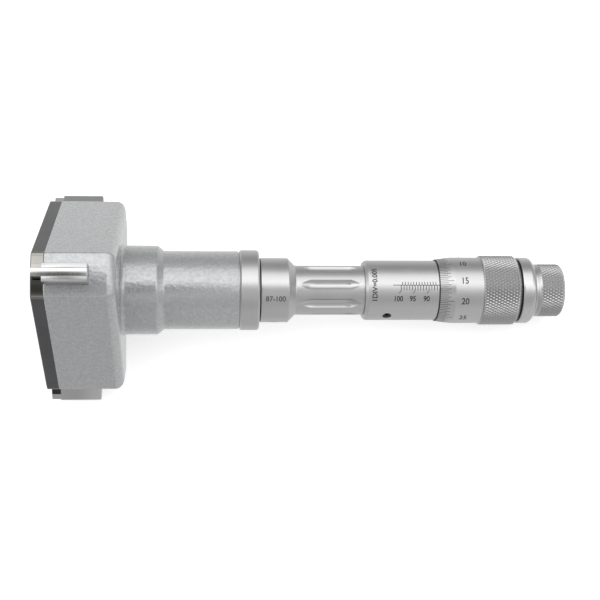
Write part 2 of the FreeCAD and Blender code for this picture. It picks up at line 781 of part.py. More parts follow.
def make_grip_body():
    body = new_body("grip_body")
    turn(body, [
        (spigot_front, d.spring_bore_radius),
        (spigot_front, d.spigot_radius),
        (ring_end, d.spigot_radius),
        (ring_end, d.front_sleeve_radius - d.front_sleeve_edge),
        (ring_end + d.front_sleeve_edge, d.front_sleeve_radius),
        (front_sleeve_end, d.front_sleeve_radius),
        (grip_start, d.grip_radius),
        (grip_end, d.grip_radius),
        (grip_end, d.rear_spigot_radius),
        (rear_spigot_end, d.rear_spigot_radius),
        (rear_spigot_end, d.spindle_bore_radius),
        (spring_bore_end, d.spindle_bore_radius),
        (spring_bore_end, d.spring_bore_radius),
    ])
    # each flute is the hollow left by a cutter that tapers to nothing at both ends
    cutter_line = d.grip_radius + d.flute_cutter_radius - d.flute_depth
    cutter_end = d.flute_cutter_radius - d.flute_depth
    first = grip_start + d.flute_lead
    last = grip_end - d.flute_lead
    flute = turn(body, [
        (first, 0),
        (first, cutter_end),
        (first + d.flute_runout, d.flute_cutter_radius),
        (last - d.flute_runout, d.flute_cutter_radius),
        (last, cutter_end),
        (last, 0),
    ], kind="Groove", up=cutter_line)
    pattern(body, [flute], int(d.flute_count.number))
    hole_station = ring_end + d.spanner_hole_setback
    hole = extrude(body, "Pocket", "XZ_Plane", lambda sketch: draw_circle(
        sketch, hole_station, 0, d.spanner_hole_radius),
        d.spanner_hole_depth + OVERCUT, out=d.front_sleeve_radius + OVERCUT)
    pattern(body, [hole], SPANNER_HOLES)
    return body


def make_graduated_sleeve():
    body = new_body("graduated_sleeve")
    turn(body, [
        (grip_end, sleeve_bore),
        (grip_end, d.sleeve_radius - d.sleeve_chamfer_depth),
        (grip_end + d.sleeve_chamfer_length, d.sleeve_radius),
        (sleeve_end, d.sleeve_radius),
        (sleeve_end, d.sleeve_nut_bore_radius),
        (sleeve_counterbore, d.sleeve_nut_bore_radius),
        (sleeve_counterbore, sleeve_bore),
    ])
    extrude(body, "Pocket", "XY_Plane", lambda sketch: draw_circle(
        sketch, grip_end + d.grub_setback, 0, d.grub_radius + d.seat_clearance),
        d.sleeve_radius, out=d.sleeve_radius + OVERCUT)
    return body


def make_grub_screw():
    body = new_body("sleeve_grub_screw")
    station = grip_end + d.grub_setback
    top = d.sleeve_radius - d.grub_recess
    extrude(body, "Pad", "XY_Plane", lambda sketch: draw_circle(sketch, station, 0, d.grub_radius),
            top - sleeve_bore, out=sleeve_bore)
    socket = [(station + d.grub_socket_radius * math.cos(math.radians(60 * i)),
               d.grub_socket_radius * math.sin(math.radians(60 * i))) for i in range(6)]
    extrude(body, "Pocket", "XY_Plane", lambda sketch: draw_outline(sketch, socket),
            d.grub_socket_depth, out=top)
    return body


# Spindle and nuts

def make_spindle_nut():
    body = new_body("spindle_nut")
    bore = d.thread_radius + d.running_clearance
    turn(body, [
        (nut_front, bore),
        (nut_front, d.rear_spigot_radius),
        (sleeve_counterbore, d.rear_spigot_radius),
        (sleeve_counterbore, d.nut_tail_radius),
        (nut_tail_end, d.nut_tail_radius),
        (nut_tail_end, bore),
    ])
    half = d.nut_slot_width / 2
    slot = extrude(body, "Pocket", "YZ_Plane", lambda sketch: draw_outline(sketch, rectangle(
        -half, 0, half, d.nut_tail_radius + OVERCUT)),
        nut_tail_end - sleeve_counterbore, out=nut_tail_end)
    pattern(body, [slot], NUT_SLOTS)
    return body


def make_adjusting_nut():
    body = new_body("adjusting_nut")
    front = sleeve_counterbore + d.running_clearance
    bore = d.nut_tail_radius + d.seat_clearance
    turn(body, [
        (front, bore),
        (front, d.adjuster_radius),
        (nut_tail_end, d.adjuster_radius),
        (nut_tail_end, bore),
    ])
    half = d.adjuster_slot_width / 2
    slot = extrude(body, "Pocket", "YZ_Plane", lambda sketch: draw_outline(sketch, rectangle(
        -half, 0, half, d.adjuster_radius + OVERCUT)), d.adjuster_slot_depth, out=nut_tail_end)
    pattern(body, [slot], SPANNER_HOLES)
    return body


def make_spindle():
    body = new_body("spindle")
    tapped = d.ratchet_screw_radius + d.seat_clearance
    turn(body, [
        (spindle_front, 0),
        (spindle_front, d.shank_radius),
        (shank_end, d.shank_radius),
        (shank_end, d.thread_radius),
        (thimble_web, d.thread_radius),
        (thimble_web, d.taper_front_radius),
        (thimble_back, d.taper_rear_radius),
        (thimble_back, d.spindle_tail_radius),
        (spindle_back, d.spindle_tail_radius),
        (spindle_back, tapped),
        (spindle_back - d.tapped_depth, tapped),
        (spindle_back - d.tapped_depth, 0),
    ])
    return body


# Thimble and ratchet

def make_thimble():
    body = new_body("thimble")
    turn(body, [
        (thimble_edge, thimble_bore),
        (thimble_edge, d.thimble_edge_radius),
        (bevel_end, d.thimble_radius),
        (knurl_start, d.thimble_radius),
        (knurl_start + d.knurl_chamfer, d.knurl_radius),
        (knurl_end, d.knurl_radius),
        (thimble_back, d.knurl_radius - d.thimble_back_drop),
        (thimble_back, d.taper_rear_radius + d.seat_clearance),
        (thimble_web, d.taper_front_radius + d.seat_clearance),
        (thimble_web, thimble_bore),
    ])
    return body


def make_thimble_washer():
    body = new_body("thimble_washer")
    turn(body, [
        (thimble_back, d.disc_radius + d.running_clearance),
        (thimble_back, d.washer_radius),
        (washer_back, d.washer_radius),
        (washer_back, d.disc_radius + d.running_clearance),
    ])
    return body


def make_ratchet_body():
    body = new_body("ratchet_body")
    turn(body, [
        (flange_start, d.ratchet_bore_radius),
        (flange_start, d.flange_radius - d.flange_edge),
        (flange_start + d.flange_edge, d.flange_radius),
        (flange_end - d.flange_shoulder, d.flange_radius),
        (flange_end - d.flange_round_setback, d.flange_radius - d.flange_round_drop),
        (flange_end, d.flange_radius - d.flange_shoulder),
        (flange_end, d.ratchet_neck_radius),
        (knob_start, d.ratchet_neck_radius),
        (knob_start, d.ratchet_tube_radius),
        (tube_end, d.ratchet_tube_radius),
        (tube_end, d.ratchet_bore_radius),
    ])
    return body


def make_ratchet_knob():
    body = new_body("ratchet_knob")
    bore = d.ratchet_tube_radius + d.seat_clearance
    turn(body, [
        (knob_start, bore),
        (knob_start, d.ratchet_neck_radius),
        (knob_start + d.knob_front_length, d.knob_radius),
        (knob_end - d.knob_end_bevel, d.knob_radius),
        (knob_end, d.knob_radius - d.knob_end_bevel),
        (knob_end, 0),
        (knob_wall_front, 0),
        (knob_wall_front, bore),
    ])
    return body


def make_toothed_disc(label, radius, bore, back, face, crest):
    """A disc with a ring of saw teeth that rise from its face to their crests."""
    body = new_body(label)
    turn(body, [(back, bore), (back, radius), (face, radius), (face, bore)])
    half = d.tooth_half_width
    sunk = face + (face - crest) / 2
    tooth = extrude(body, "Pad", "XY_Plane", lambda sketch: draw_outline(sketch, [
        (sunk, -half),
        (face, -half),
        (crest, half),
        (sunk, half),
    ]), d.tooth_outer_radius - d.tooth_inner_radius, out=d.tooth_inner_radius)
    pattern(body, [tooth], int(d.tooth_count.number))
    return body


def make_ratchet_screw():
    body = new_body("ratchet_screw")
    front = spindle_back - d.tapped_depth + OVERLAP
    turn(body, [
        (front, 0),
        (front, d.ratchet_screw_radius),
        (screw_head_front, d.ratchet_screw_radius),
        (screw_head_front, d.ratchet_head_radius),
        (screw_head_back, d.ratchet_head_radius),
        (screw_head_back, 0),
    ])
    return body


def make_pieces():
    """Build every piece and return it with its angle about the tool axis."""
    pieces = [
        (make_head_casting(), as_size(0)),
        (make_front_plate(), as_size(0)),
        (make_plate_screws(), as_size(0)),
    ]
    for number, angle in ANVIL_ANGLES.items():
        pieces.append((make_anvil(number), as_size(angle)))
        pieces.append((make_contact_strip(number), as_size(angle)))
        pieces.append((make_return_spring(number), as_size(angle)))
    pieces += [
        (make_measuring_cone(), as_size(0)),
        (make_push_rod(), as_size(0)),
        (make_guide_bush(), as_size(0)),
        (make_coil_spring("rod_spring", bush_back + d.spring_end_gap,
                          rod_collar_front - d.spring_end_gap, d.rod_spring_radius,
                          d.rod_spring_wire, d.rod_spring_turns), as_size(0)),
        (make_coupling_ring(), as_size(0)),
        (make_grip_body(), d.flute_angle),
        (make_graduated_sleeve(), d.grub_angle),
        (make_grub_screw(), d.grub_angle),
        (make_spindle_nut(), as_size(0)),
        (make_adjusting_nut(), as_size(0)),
        (make_spindle(), as_size(0)),
        (make_thimble(), as_size(0)),
        (make_thimble_washer(), as_size(0)),
        (make_ratchet_body(), as_size(0)),
        (make_ratchet_knob(), as_size(0)),
        (make_toothed_disc("ratchet_disc", d.disc_radius, d.spindle_tail_radius + d.seat_clearance,
                           disc_front, spindle_back, disc_crest), as_size(0)),
        (make_toothed_disc("ratchet_pawl", d.pawl_radius, d.ratchet_screw_hole,
                           pawl_back, pawl_front, pawl_crest), as_size(0)),
        (make_coil_spring("ratchet_spring", pawl_back + d.spring_end_gap,
                          screw_head_front - d.spring_end_gap, d.ratchet_spring_radius,
                          d.ratchet_spring_wire, d.ratchet_spring_turns), as_size(0)),
        (make_ratchet_screw(), as_size(0)),
    ]
    return pieces


# Resting place: the rounded rear edge of the head's lower long side and the rear edge of the
# knurled band touch the table, so the tool axis slopes down towards the ratchet.
half_turn = math.radians(180 / ANVIL_COUNT)
long_side = d.facet_distance * math.cos(half_turn) + d.facet_half_width * math.sin(half_turn)
rounding_station = head_back - d.head_back_radius
rounding_depth = long_side - d.head_back_radius
contact_run = knurl_end - rounding_station
contact_drop = rounding_depth - d.knurl_radius
tilt = (arc_tangent(contact_drop / contact_run)
        + arc_sine(d.head_back_radius / root_of_squares(contact_run, contact_drop)))
lift = knurl_end * sine(tilt) + d.knurl_radius * cosine(tilt)
front_reach = (long_side - d.plate_chamfer) * sine(tilt) * -1
rear_reach = knob_end * cosine(tilt) + (d.knob_radius - d.knob_end_bevel) * sine(tilt)
shift = (front_reach + rear_reach) / -2


def place(piece, angle):
    """Turn a piece about the tool axis, tilt it with the tool and lift it onto the table."""
    bind(piece, "Placement.Rotation.Pitch", tilt)
    bind(piece, "Placement.Rotation.Roll", angle * -1)
    bind(piece, "Placement.Base.x", shift)
    bind(piece, "Placement.Base.z", lift)


def place_ball(ball):
    """The ball's centre lies on the tool axis, in the push rod's socket."""
    station = ball_end - d.ball_radius
    bind(ball, "Placement.Base.x", shift + station * cosine(tilt))
    bind(ball, "Placement.Base.z", lift - station * sine(tilt))


def check_document():
    """Stop where any object of the document failed to build."""
    failed = [thing.Name for thing in document.Objects
              if "Invalid" in thing.State or "Error" in thing.State]
    if failed:
        raise RuntimeError(f"did not build: {', '.join(failed)}")


def write_parts(pieces):
    os.makedirs("parts", exist_ok=True)
    for piece in pieces:
        shape = piece.Shape
        if shape.isNull() or not shape.isValid() or not shape.Solids:
            raise RuntimeError(f"{piece.Label} is not a sound solid")
        shape.exportStep(f"parts/{piece.Label}.step")


turned_pieces = make_pieces()
ball = make_thrust_ball()
for piece, angle in turned_pieces:
    place(piece, angle)
place_ball(ball)
document.recompute()
check_document()
write_parts([piece for piece, angle in turned_pieces] + [ball])
print(f"tilt {tilt.number:.6f} degrees, shift {shift.number:.5f}, lift {lift.number:.5f}")
print(f"contact radius {d.contact_radius.number}, thimble edge {thimble_edge.number:.3f}, "
      f"knob end {knob_end.number:.3f}")
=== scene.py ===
import json
import math

import bmesh
import bpy
import numpy as np
from mathutils import Matrix


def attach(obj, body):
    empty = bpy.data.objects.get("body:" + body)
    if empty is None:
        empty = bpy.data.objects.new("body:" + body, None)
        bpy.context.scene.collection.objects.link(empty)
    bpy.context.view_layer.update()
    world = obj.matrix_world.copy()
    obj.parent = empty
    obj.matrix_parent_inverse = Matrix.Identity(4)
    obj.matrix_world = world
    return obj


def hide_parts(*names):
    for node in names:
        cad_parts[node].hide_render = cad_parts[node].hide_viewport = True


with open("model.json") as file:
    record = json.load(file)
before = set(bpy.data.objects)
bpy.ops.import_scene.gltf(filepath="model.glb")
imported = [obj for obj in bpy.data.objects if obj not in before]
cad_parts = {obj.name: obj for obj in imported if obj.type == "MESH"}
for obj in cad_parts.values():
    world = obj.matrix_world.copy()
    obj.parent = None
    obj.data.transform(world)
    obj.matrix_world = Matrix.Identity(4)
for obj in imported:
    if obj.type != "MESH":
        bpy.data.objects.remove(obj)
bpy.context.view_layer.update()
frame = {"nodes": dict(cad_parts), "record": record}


# The line of the tool. The micrometer lies on the table with its spindle line sloping down
# towards the ratchet. A place on it is a station in millimetres behind the front plate, a
# radius, and a turn away from the first anvil, which points up.

JOINTS = {joint["name"]: joint for joint in frame["record"]["behaviour"]["joints"]}
SPINDLE_MARK = 150.0
spindle_line = -np.array(JOINTS["thimble_spin"]["axis"])
spindle_point = np.array(JOINTS["thimble_spin"]["pos_m"])
first_anvil = np.array(JOINTS["anvil_1_slide"]["axis"])
far_side = np.array([0.0, 1.0, 0.0])


def on_tool(station, across, out, turned=0.0):
    """spindle point + (station - 150) spindle line + out first anvil + across far side, where
    across and out are first turned by that many degrees about the spindle line."""
    angle = math.radians(turned)
    station, across, out = np.broadcast_arrays(station, across, out)
    side = across * math.cos(angle) + out * math.sin(angle)
    rise = out * math.cos(angle) - across * math.sin(angle)
    steps = (np.multiply.outer(station - SPINDLE_MARK, spindle_line)
             + np.multiply.outer(rise, first_anvil) + np.multiply.outer(side, far_side))
    return spindle_point + steps / 1000


def round_tool(station, radius, turn):
    """The point at that station and radius, turned by so many radians from the first anvil."""
    return on_tool(station, radius * np.sin(turn), radius * np.cos(turn))


# The table and the light. The tool lies on a sheet of white acrylic that is lit from below,
# in a pale room, under one large soft lamp above its far side. The camera looks down from a
# little to the near side, and its roll makes the sloping tool lie level in the picture.

LENS = 70.186
SENSOR_WIDTH = 36.0
CAMERA_PLACE = (-0.004109, -0.057253, 0.438514)
CAMERA_TURNS = (7.285, -0.338, -0.595)
SHEET_HALF = 1.5
SHEET_WHITE = (0.9, 0.9, 0.9)
SHEET_GLOW = 0.5
LAMP_PLACE = (0.0, 0.42, 0.6)
LAMP_SIZE = (1.0, 0.6)
LAMP_WATTS = 1.1
ROOM_LIGHT = 0.75
CEILING_LAMP = (5.5, 13.5, 0.93)
CEILING_PANEL = (30.0, 22.0, 0.3)
NEAR_SCREEN = (-42.0, 24.0, -0.2)
FAR_SCREEN = (89.0, 23.0, -0.36)
FAR_FLOOR = (150.0, 18.0, 0.11)
OPENING_LINE = (-0.05, -0.04, 0.998)
OPENING_REACH = (18.0, 9.0)
OPENING_DARK = 0.93
HEAD_END_TOP = 0.35
HEAD_END_NEAR = 0.3
CREASE = 32.0


class Number:
    """A number from a node. A sum, difference, product or quotient of it adds a Math node."""

    def __init__(self, nodes, socket):
        self.nodes = nodes
        self.socket = socket

    def maths(self, operation, *values, clamp=False):
        """A Math node with that operation on the values."""
        return self.nodes.node("ShaderNodeMath", {"operation": operation, "use_clamp": clamp},
                               dict(enumerate(values)))

    def __add__(self, other):
        return self.maths("ADD", self, other)

    def __sub__(self, other):
        return self.maths("SUBTRACT", self, other)

    def __rsub__(self, other):
        return self.maths("SUBTRACT", other, self)

    def __mul__(self, other):
        return self.maths("MULTIPLY", self, other)

    def __truediv__(self, other):
        return self.maths("DIVIDE", self, other)

    __radd__ = __add__
    __rmul__ = __mul__

    def between(self, low, high):
        """0 below low, 1 above high, and a straight line between them."""
        return self.maths("MULTIPLY", self - low, 1 / (high - low), clamp=True)

    def bell(self, middle, spread):
        """exp(-((number - middle) / spread)^2): 1 at the middle, near 0 two spreads away."""
        away = (self - middle) / spread
        return self.maths("EXPONENT", away * away * -1)


class Nodes:
    """A node tree that nodes are added to one at a time."""

    def __init__(self, tree):
        self.tree = tree

    def give(self, socket, value):
        """Link a socket to a number, or set it to a value."""
        if isinstance(value, Number):
            self.tree.links.new(value.socket, socket)
        else:
            socket.default_value = value

    def node(self, kind, settings=None, inputs=None, output=0):
        """Add a node: its settings first, then the values or links of its sockets."""
        made = self.tree.nodes.new(kind)
        for setting, value in (settings or {}).items():
            setattr(made, setting, value)
        for socket, value in (inputs or {}).items():
            self.give(made.inputs[socket], value)
        return Number(self, made.outputs[output])


class Finish(Nodes):
    """A material with one Principled shader."""

    def __init__(self, name, colour, roughness, metallic=0.0, coat=0.0, coat_roughness=0.03):
        self.material = bpy.data.materials.new(name)
        self.material.use_nodes = True
        super().__init__(self.material.node_tree)
        self.shader = self.tree.nodes["Principled BSDF"]
        self.set("Base Color", (*colour, 1.0))
        self.set("Roughness", roughness)
        self.set("Metallic", metallic)
        self.set("Coat Weight", coat)
        self.set("Coat Roughness", coat_roughness)
        self.material.diffuse_color = (*colour, 1.0)

    def set(self, socket, value):
        """Give a socket of the shader a value, or the number or colour of another node."""
        self.give(self.shader.inputs[socket], value)

    def place(self):
        """The point on the piece, in metres, in the frame of the whole tool."""
        return self.node("ShaderNodeTexCoord", output="Object")

    def along(self, line):
        """The point's distance along a line in millimetres: 1000 times their dot product."""
        return self.node("ShaderNodeVectorMath", {"operation": "DOT_PRODUCT"},
                         {0: self.place(), 1: tuple(line * 1000)}, output="Value")

    def station(self):
        """The point's station: its distance along the spindle line, less the zero of the tool."""
        zero = float(spindle_point @ spindle_line) * 1000 - SPINDLE_MARK
        return self.along(spindle_line) - zero

    def off_line(self):
        """The point's distance from the spindle line in millimetres: the length of the cross
        product of the line and the way from the spindle point."""
        away = self.node("ShaderNodeVectorMath", {"operation": "SUBTRACT"},
                         {0: self.place(), 1: tuple(spindle_point)})
        across = self.node("ShaderNodeVectorMath", {"operation": "CROSS_PRODUCT"},
                           {0: away, 1: tuple(spindle_line * 1000)})
        return self.node("ShaderNodeVectorMath", {"operation": "LENGTH"}, {0: across},
                         output="Value")

    def noise(self, size, detail=3.0, roughness=0.5, distortion=0.0):
        """Cloudy noise from 0 to 1 with patches of about that many millimetres."""
        return self.node("ShaderNodeTexNoise", None, {
            "Vector": self.place(), "Scale": 1000 / size, "Detail": detail,
            "Roughness": roughness, "Distortion": distortion})

    def lines(self, line, size, detail=4.0, roughness=0.6):
        """Noise that only changes along a line: marks of that width across it."""
        return self.node("ShaderNodeTexNoise", {"noise_dimensions": "1D"}, {
            "W": self.along(line), "Scale": 1 / size, "Detail": detail,
            "Roughness": roughness})

    def mix(self, share, first, second):
        """The first colour where share is 0, the second where it is 1."""
        first, second = [colour if isinstance(colour, Number) else (*colour, 1.0)
                         for colour in (first, second)]
        return self.node("ShaderNodeMix", {"data_type": "RGBA"},
                         {0: share, 6: first, 7: second}, output=2)

    def bump(self, height, depth):
        """Raise the surface by height, where 1 stands for that depth in millimetres."""
        self.set("Normal", self.node("ShaderNodeBump", None, {
            "Strength": 1.0, "Distance": depth / 1000, "Height": height}))


def quads(rows, columns, round_rows, round_columns):
    """Corner numbers of the quads between neighbours on a grid, closed on itself where round."""
    down = np.arange(rows if round_rows else rows - 1)
    beside = np.arange(columns if round_columns else columns - 1)
    i, j = np.meshgrid(down, beside, indexing="ij")
    below, right = (i + 1) % rows, (j + 1) % columns
    corners = (i * columns + j, below * columns + j, below * columns + right,
               i * columns + right)
    return np.stack(corners, axis=-1).reshape(-1, 4)


def shade(mesh, crease):
    """Smooth shading, with a sharp edge where two faces meet at more than crease degrees."""
    mesh.shade_smooth()
    mesh.set_sharp_from_angle(angle=math.radians(crease))
    mesh.update()


def finished_piece(name, mesh, finish, crease):
    """Put a piece with that mesh in the scene, shaded and in its finish."""
    mesh.materials.append(finish.material)
    shade(mesh, crease)
    piece = bpy.data.objects.new(name, mesh)
    bpy.context.scene.collection.objects.link(piece)
    return piece


def mesh_piece(name, places, faces, finish, crease=CREASE):
    """A piece from its points and faces. Points that coincide are merged, and the faces are
    turned outwards, so that the volume they enclose is positive."""
    mesh = bpy.data.meshes.new(name)
    mesh.from_pydata(np.asarray(places).reshape(-1, 3).tolist(), [], np.asarray(faces).tolist())
    form = bmesh.new()
    form.from_mesh(mesh)
    bmesh.ops.remove_doubles(form, verts=form.verts, dist=1e-7)
    if form.calc_volume(signed=True) < 0:
        bmesh.ops.reverse_faces(form, faces=form.faces)
    form.to_mesh(mesh)
    form.free()
    return finished_piece(name, mesh, finish, crease)


paper = Finish("white_acrylic", SHEET_WHITE, 0.9)
paper.set("Roughness", paper.noise(3.0) * 0.05 + 0.85)
paper.set("Emission Color", (1.0, 1.0, 1.0, 1.0))
paper.set("Emission Strength", SHEET_GLOW)
sheet_corners = np.array([(-1, -1, 0), (1, -1, 0), (1, 1, 0), (-1, 1, 0)]) * SHEET_HALF
sheet = mesh_piece("white_sheet", sheet_corners, [(0, 1, 2, 3)], paper)
sheet.visible_glossy = False

# The light of the room changes with the turn about the line of the tool: arctan(far side / up)
# in degrees. A panel of (turn, spread, strength) adds a bell of light about its turn to the
# room's own, and a screen takes one away. Right above the tool the ceiling has a round dark
# opening. Towards the head's end of the tool it is brighter and the near wall darker.
world = bpy.data.worlds.new("pale_room")
world.use_nodes = True
bpy.context.scene.world = world
room = Nodes(world.node_tree)
facing = room.node("ShaderNodeTexCoord", output="Generated")
far = room.node("ShaderNodeSeparateXYZ", None, {0: facing}, output="Y")
up = room.node("ShaderNodeSeparateXYZ", None, {0: facing}, output="Z")
near = far * -1
towards_head = room.node("ShaderNodeSeparateXYZ", None, {0: facing}, output="X") * -1
head_end = towards_head.between(-0.1, 0.05)
uneven = up.between(0.75, 0.9) * HEAD_END_TOP - near.between(0.6, 0.9) * HEAD_END_NEAR
turn = far.maths("ARCTAN2", far, up) * math.degrees(1.0)
light = ROOM_LIGHT
for middle, spread, strength in (CEILING_LAMP, CEILING_PANEL, NEAR_SCREEN, FAR_SCREEN, FAR_FLOOR):
    light = turn.bell(middle, spread) * strength + light
towards_opening = room.node("ShaderNodeVectorMath", {"operation": "DOT_PRODUCT"},
                            {0: facing, 1: OPENING_LINE}, output="Value")
opening = towards_opening.between(*np.cos(np.radians(OPENING_REACH)).tolist())
background = world.node_tree.nodes["Background"]
room.give(background.inputs["Color"], (1.0, 1.0, 1.0, 1.0))
room.give(background.inputs["Strength"],
          light * (1 - opening * OPENING_DARK) * (head_end * uneven + 1))
bpy.context.scene.view_settings.view_transform = "Standard"

lamp_light = bpy.data.lights.new("far_lamp", "AREA")
lamp_light.shape = "RECTANGLE"
lamp_light.size, lamp_light.size_y = LAMP_SIZE
lamp_light.energy = LAMP_WATTS
lamp = bpy.data.objects.new("far_lamp", lamp_light)
lamp.location = LAMP_PLACE
lamp.rotation_euler = (-math.atan2(LAMP_PLACE[1], LAMP_PLACE[2]), 0.0, 0.0)
bpy.context.scene.collection.objects.link(lamp)

lens = bpy.data.cameras.new("camera")
lens.lens = LENS
lens.sensor_width = SENSOR_WIDTH
lens.clip_start = 0.01
camera = bpy.data.objects.new("camera", lens)
camera.matrix_world = Matrix.Translation(CAMERA_PLACE)
for degrees, axis in zip(CAMERA_TURNS, "XYZ"):
    camera.matrix_world = camera.matrix_world @ Matrix.Rotation(math.radians(degrees), 4, axis)
bpy.context.scene.collection.objects.link(camera)
bpy.context.scene.camera = camera


# The head casting is one piece of cast metal: a thick plate with three flat long sides and
# three turned short ones, a collar, a short cone and a neck. It is bored for the measuring
# cone, slotted for the anvils, and painted with a silver-grey hammered enamel.

TURNED_RADIUS = 36.557
FLAT_DISTANCE = 24.309
CORNER_ROUNDING = 0.8
BACK_CORNER_ROUNDING = 1.8
PLATE_BACK = 4.3
HEAD_BACK = 27.7
HEAD_ROUNDING = 3.2
COLLAR_RADIUS = 15.9
COLLAR_ROOT = 1.5
COLLAR_END = 40.25
NECK_START = 42.4
NECK_RADIUS = 14.05
NECK_END = 68.3
SKIRT_END = 68.78
CONE_BORE = 13.2
CONE_BORE_END = 41.5
BUSH_BORE = 7.02
BUSH_BACK = 57.0
SPIGOT_BORE = 9.42
SLOT_HALF_WIDTH = 3.15
SLOT_BACK = 18.9
SLOT_FLOOR = 26.65
SLOT_LEDGE = 30.2
ANVIL_TURNS = {1: 0.0, 2: 120.0, 3: -120.0}
ENAMEL_DARK = (0.4, 0.405, 0.412)
ENAMEL_LIGHT = (0.47, 0.476, 0.484)
HEAD_CREASE = 40.0
OVERSHOOT = 2.0


def head_outline(inset, rounding=CORNER_ROUNDING):
    """The outline moved in by inset, as (across, out). Each corner is an arc about a point at
    reach = turned radius - inset - rounding from the spindle line, which lies at the angle
    arccos((flat distance - inset - rounding) / reach) from the flat side's normal."""
    reach = TURNED_RADIUS - inset - rounding
    lean = math.acos((FLAT_DISTANCE - inset - rounding) / reach)
    runs = []
    for normal in np.radians([60.0, 180.0, 300.0]):
        before, after = normal - lean, normal + lean
        corners = [reach * np.array([math.sin(turn), math.cos(turn)]) + rounding * np.stack(
            [np.sin(sweep), np.cos(sweep)], axis=-1) for turn, sweep in (
            (before, np.linspace(before, normal, 7)), (after, np.linspace(normal, after, 7)))]
        parts = np.linspace(0.0, 1.0, 41)[1:-1, None]
        turned = np.linspace(after, before + math.radians(120.0), 15)[1:-1]
        runs += [corners[0], corners[0][-1] + (corners[1][0] - corners[0][-1]) * parts,
                 corners[1], (TURNED_RADIUS - inset) * np.stack(
                     [np.sin(turned), np.cos(turned)], axis=-1)]
    return np.concatenate(runs)


def circle_for(outline, radius):
    """The points on a circle in the same directions as the outline's points."""
    return outline * (radius / np.linalg.norm(outline, axis=1))[:, None]


def arc(station, radius, size, start, stop, steps=8):
    """Stations and radii on an arc about (station, radius), from angle start to stop in
    degrees: (station + size sin angle, radius + size cos angle)."""
    angle = np.radians(np.linspace(start, stop, steps))
    return list(zip(station + size * np.sin(angle), radius + size * np.cos(angle)))


def bar(name, outline, half_width, turned, finish, crease=CREASE):
    """An outline of (station, out), carried across from -half_width to half_width."""
    outline = np.array(outline, dtype=float)
    count = len(outline)
    ends = [on_tool(outline[:, 0], side, outline[:, 1], turned)
            for side in (-half_width, half_width)]
    sides = quads(2, count, False, True).tolist()
    caps = [list(range(count)), list(range(2 * count - 1, count - 1, -1))]
    form = [list(face) for face in sides] + caps
    return ragged_piece(name, np.concatenate(ends), form, finish, crease)


def ragged_piece(name, places, faces, finish, crease=CREASE):
    """A piece from faces with different numbers of corners, all turned outwards."""
    mesh = bpy.data.meshes.new(name)
    mesh.from_pydata(places.tolist(), [], faces)
    form = bmesh.new()
    form.from_mesh(mesh)
    bmesh.ops.recalc_face_normals(form, faces=form.faces)
    if form.calc_volume(signed=True) < 0:
        bmesh.ops.reverse_faces(form, faces=form.faces)
    form.to_mesh(mesh)
    form.free()
    return finished_piece(name, mesh, finish, crease)


def apply_modifiers(piece, crease=CREASE):
    """Keep the mesh that the modifiers make, and drop the modifiers."""
    graph = bpy.context.evaluated_depsgraph_get()
    made = bpy.data.meshes.new_from_object(piece.evaluated_get(graph))
    made.name = piece.name
    finish = piece.data.materials[0]
    piece.modifiers.clear()
    piece.data = made
    made.materials.clear()
    made.materials.append(finish)
    shade(made, crease)


def combine(piece, others, operation="DIFFERENCE", crease=CREASE):
    """Take the others out of the piece, or add them to it, and delete them."""
    for other in others:
        step = piece.modifiers.new("combine", "BOOLEAN")
        step.operation, step.solver, step.object = operation, "EXACT", other
    apply_modifiers(piece, crease)
    for other in others:
        bpy.data.objects.remove(other)


def hammered_enamel():
    """Enamel full of aluminium flakes that has drawn itself into shallow cells under a
    millimetre across, each of which catches the light on its own."""
    paint = Finish("hammered_enamel", ENAMEL_LIGHT, 0.3, 0.6, coat=0.6, coat_roughness=0.06)
    cells = paint.noise(1.3, detail=2.0, roughness=0.5, distortion=0.2)
    fine = paint.noise(0.4, detail=2.0)
    height = cells * 0.8 + fine * 0.2
    paint.set("Base Color", paint.mix(height.between(0.35, 0.65), ENAMEL_DARK, ENAMEL_LIGHT))
    paint.set("Roughness", 0.32 - height.between(0.35, 0.65) * 0.08)
    paint.bump(height, 0.13)
    return paint


enamel = hammered_enamel()
full = head_outline(0.0)
back_edge = head_outline(HEAD_ROUNDING, BACK_CORNER_ROUNDING)
head_rings = [(PLATE_BACK, head_outline(0.25)), (PLATE_BACK + 0.08, head_outline(0.08)),
              (PLATE_BACK + 0.3, full), (PLATE_BACK + 0.5, full),
              (HEAD_BACK - HEAD_ROUNDING - 0.3, full)]
for lean in np.radians(np.linspace(0.0, 90.0, 11)):
    head_rings.append((HEAD_BACK - HEAD_ROUNDING * (1 - math.sin(lean)), head_outline(
        HEAD_ROUNDING * (1 - math.cos(lean)), BACK_CORNER_ROUNDING - math.cos(lean))))
collar_foot = circle_for(back_edge, COLLAR_RADIUS + COLLAR_ROOT + 0.3)
for share in (0.06, 0.5, 1.0):
    head_rings.append((HEAD_BACK, back_edge + (collar_foot - back_edge) * share))
neck_profile = arc(HEAD_BACK + COLLAR_ROOT, COLLAR_RADIUS + COLLAR_ROOT, -COLLAR_ROOT, 90, 0)
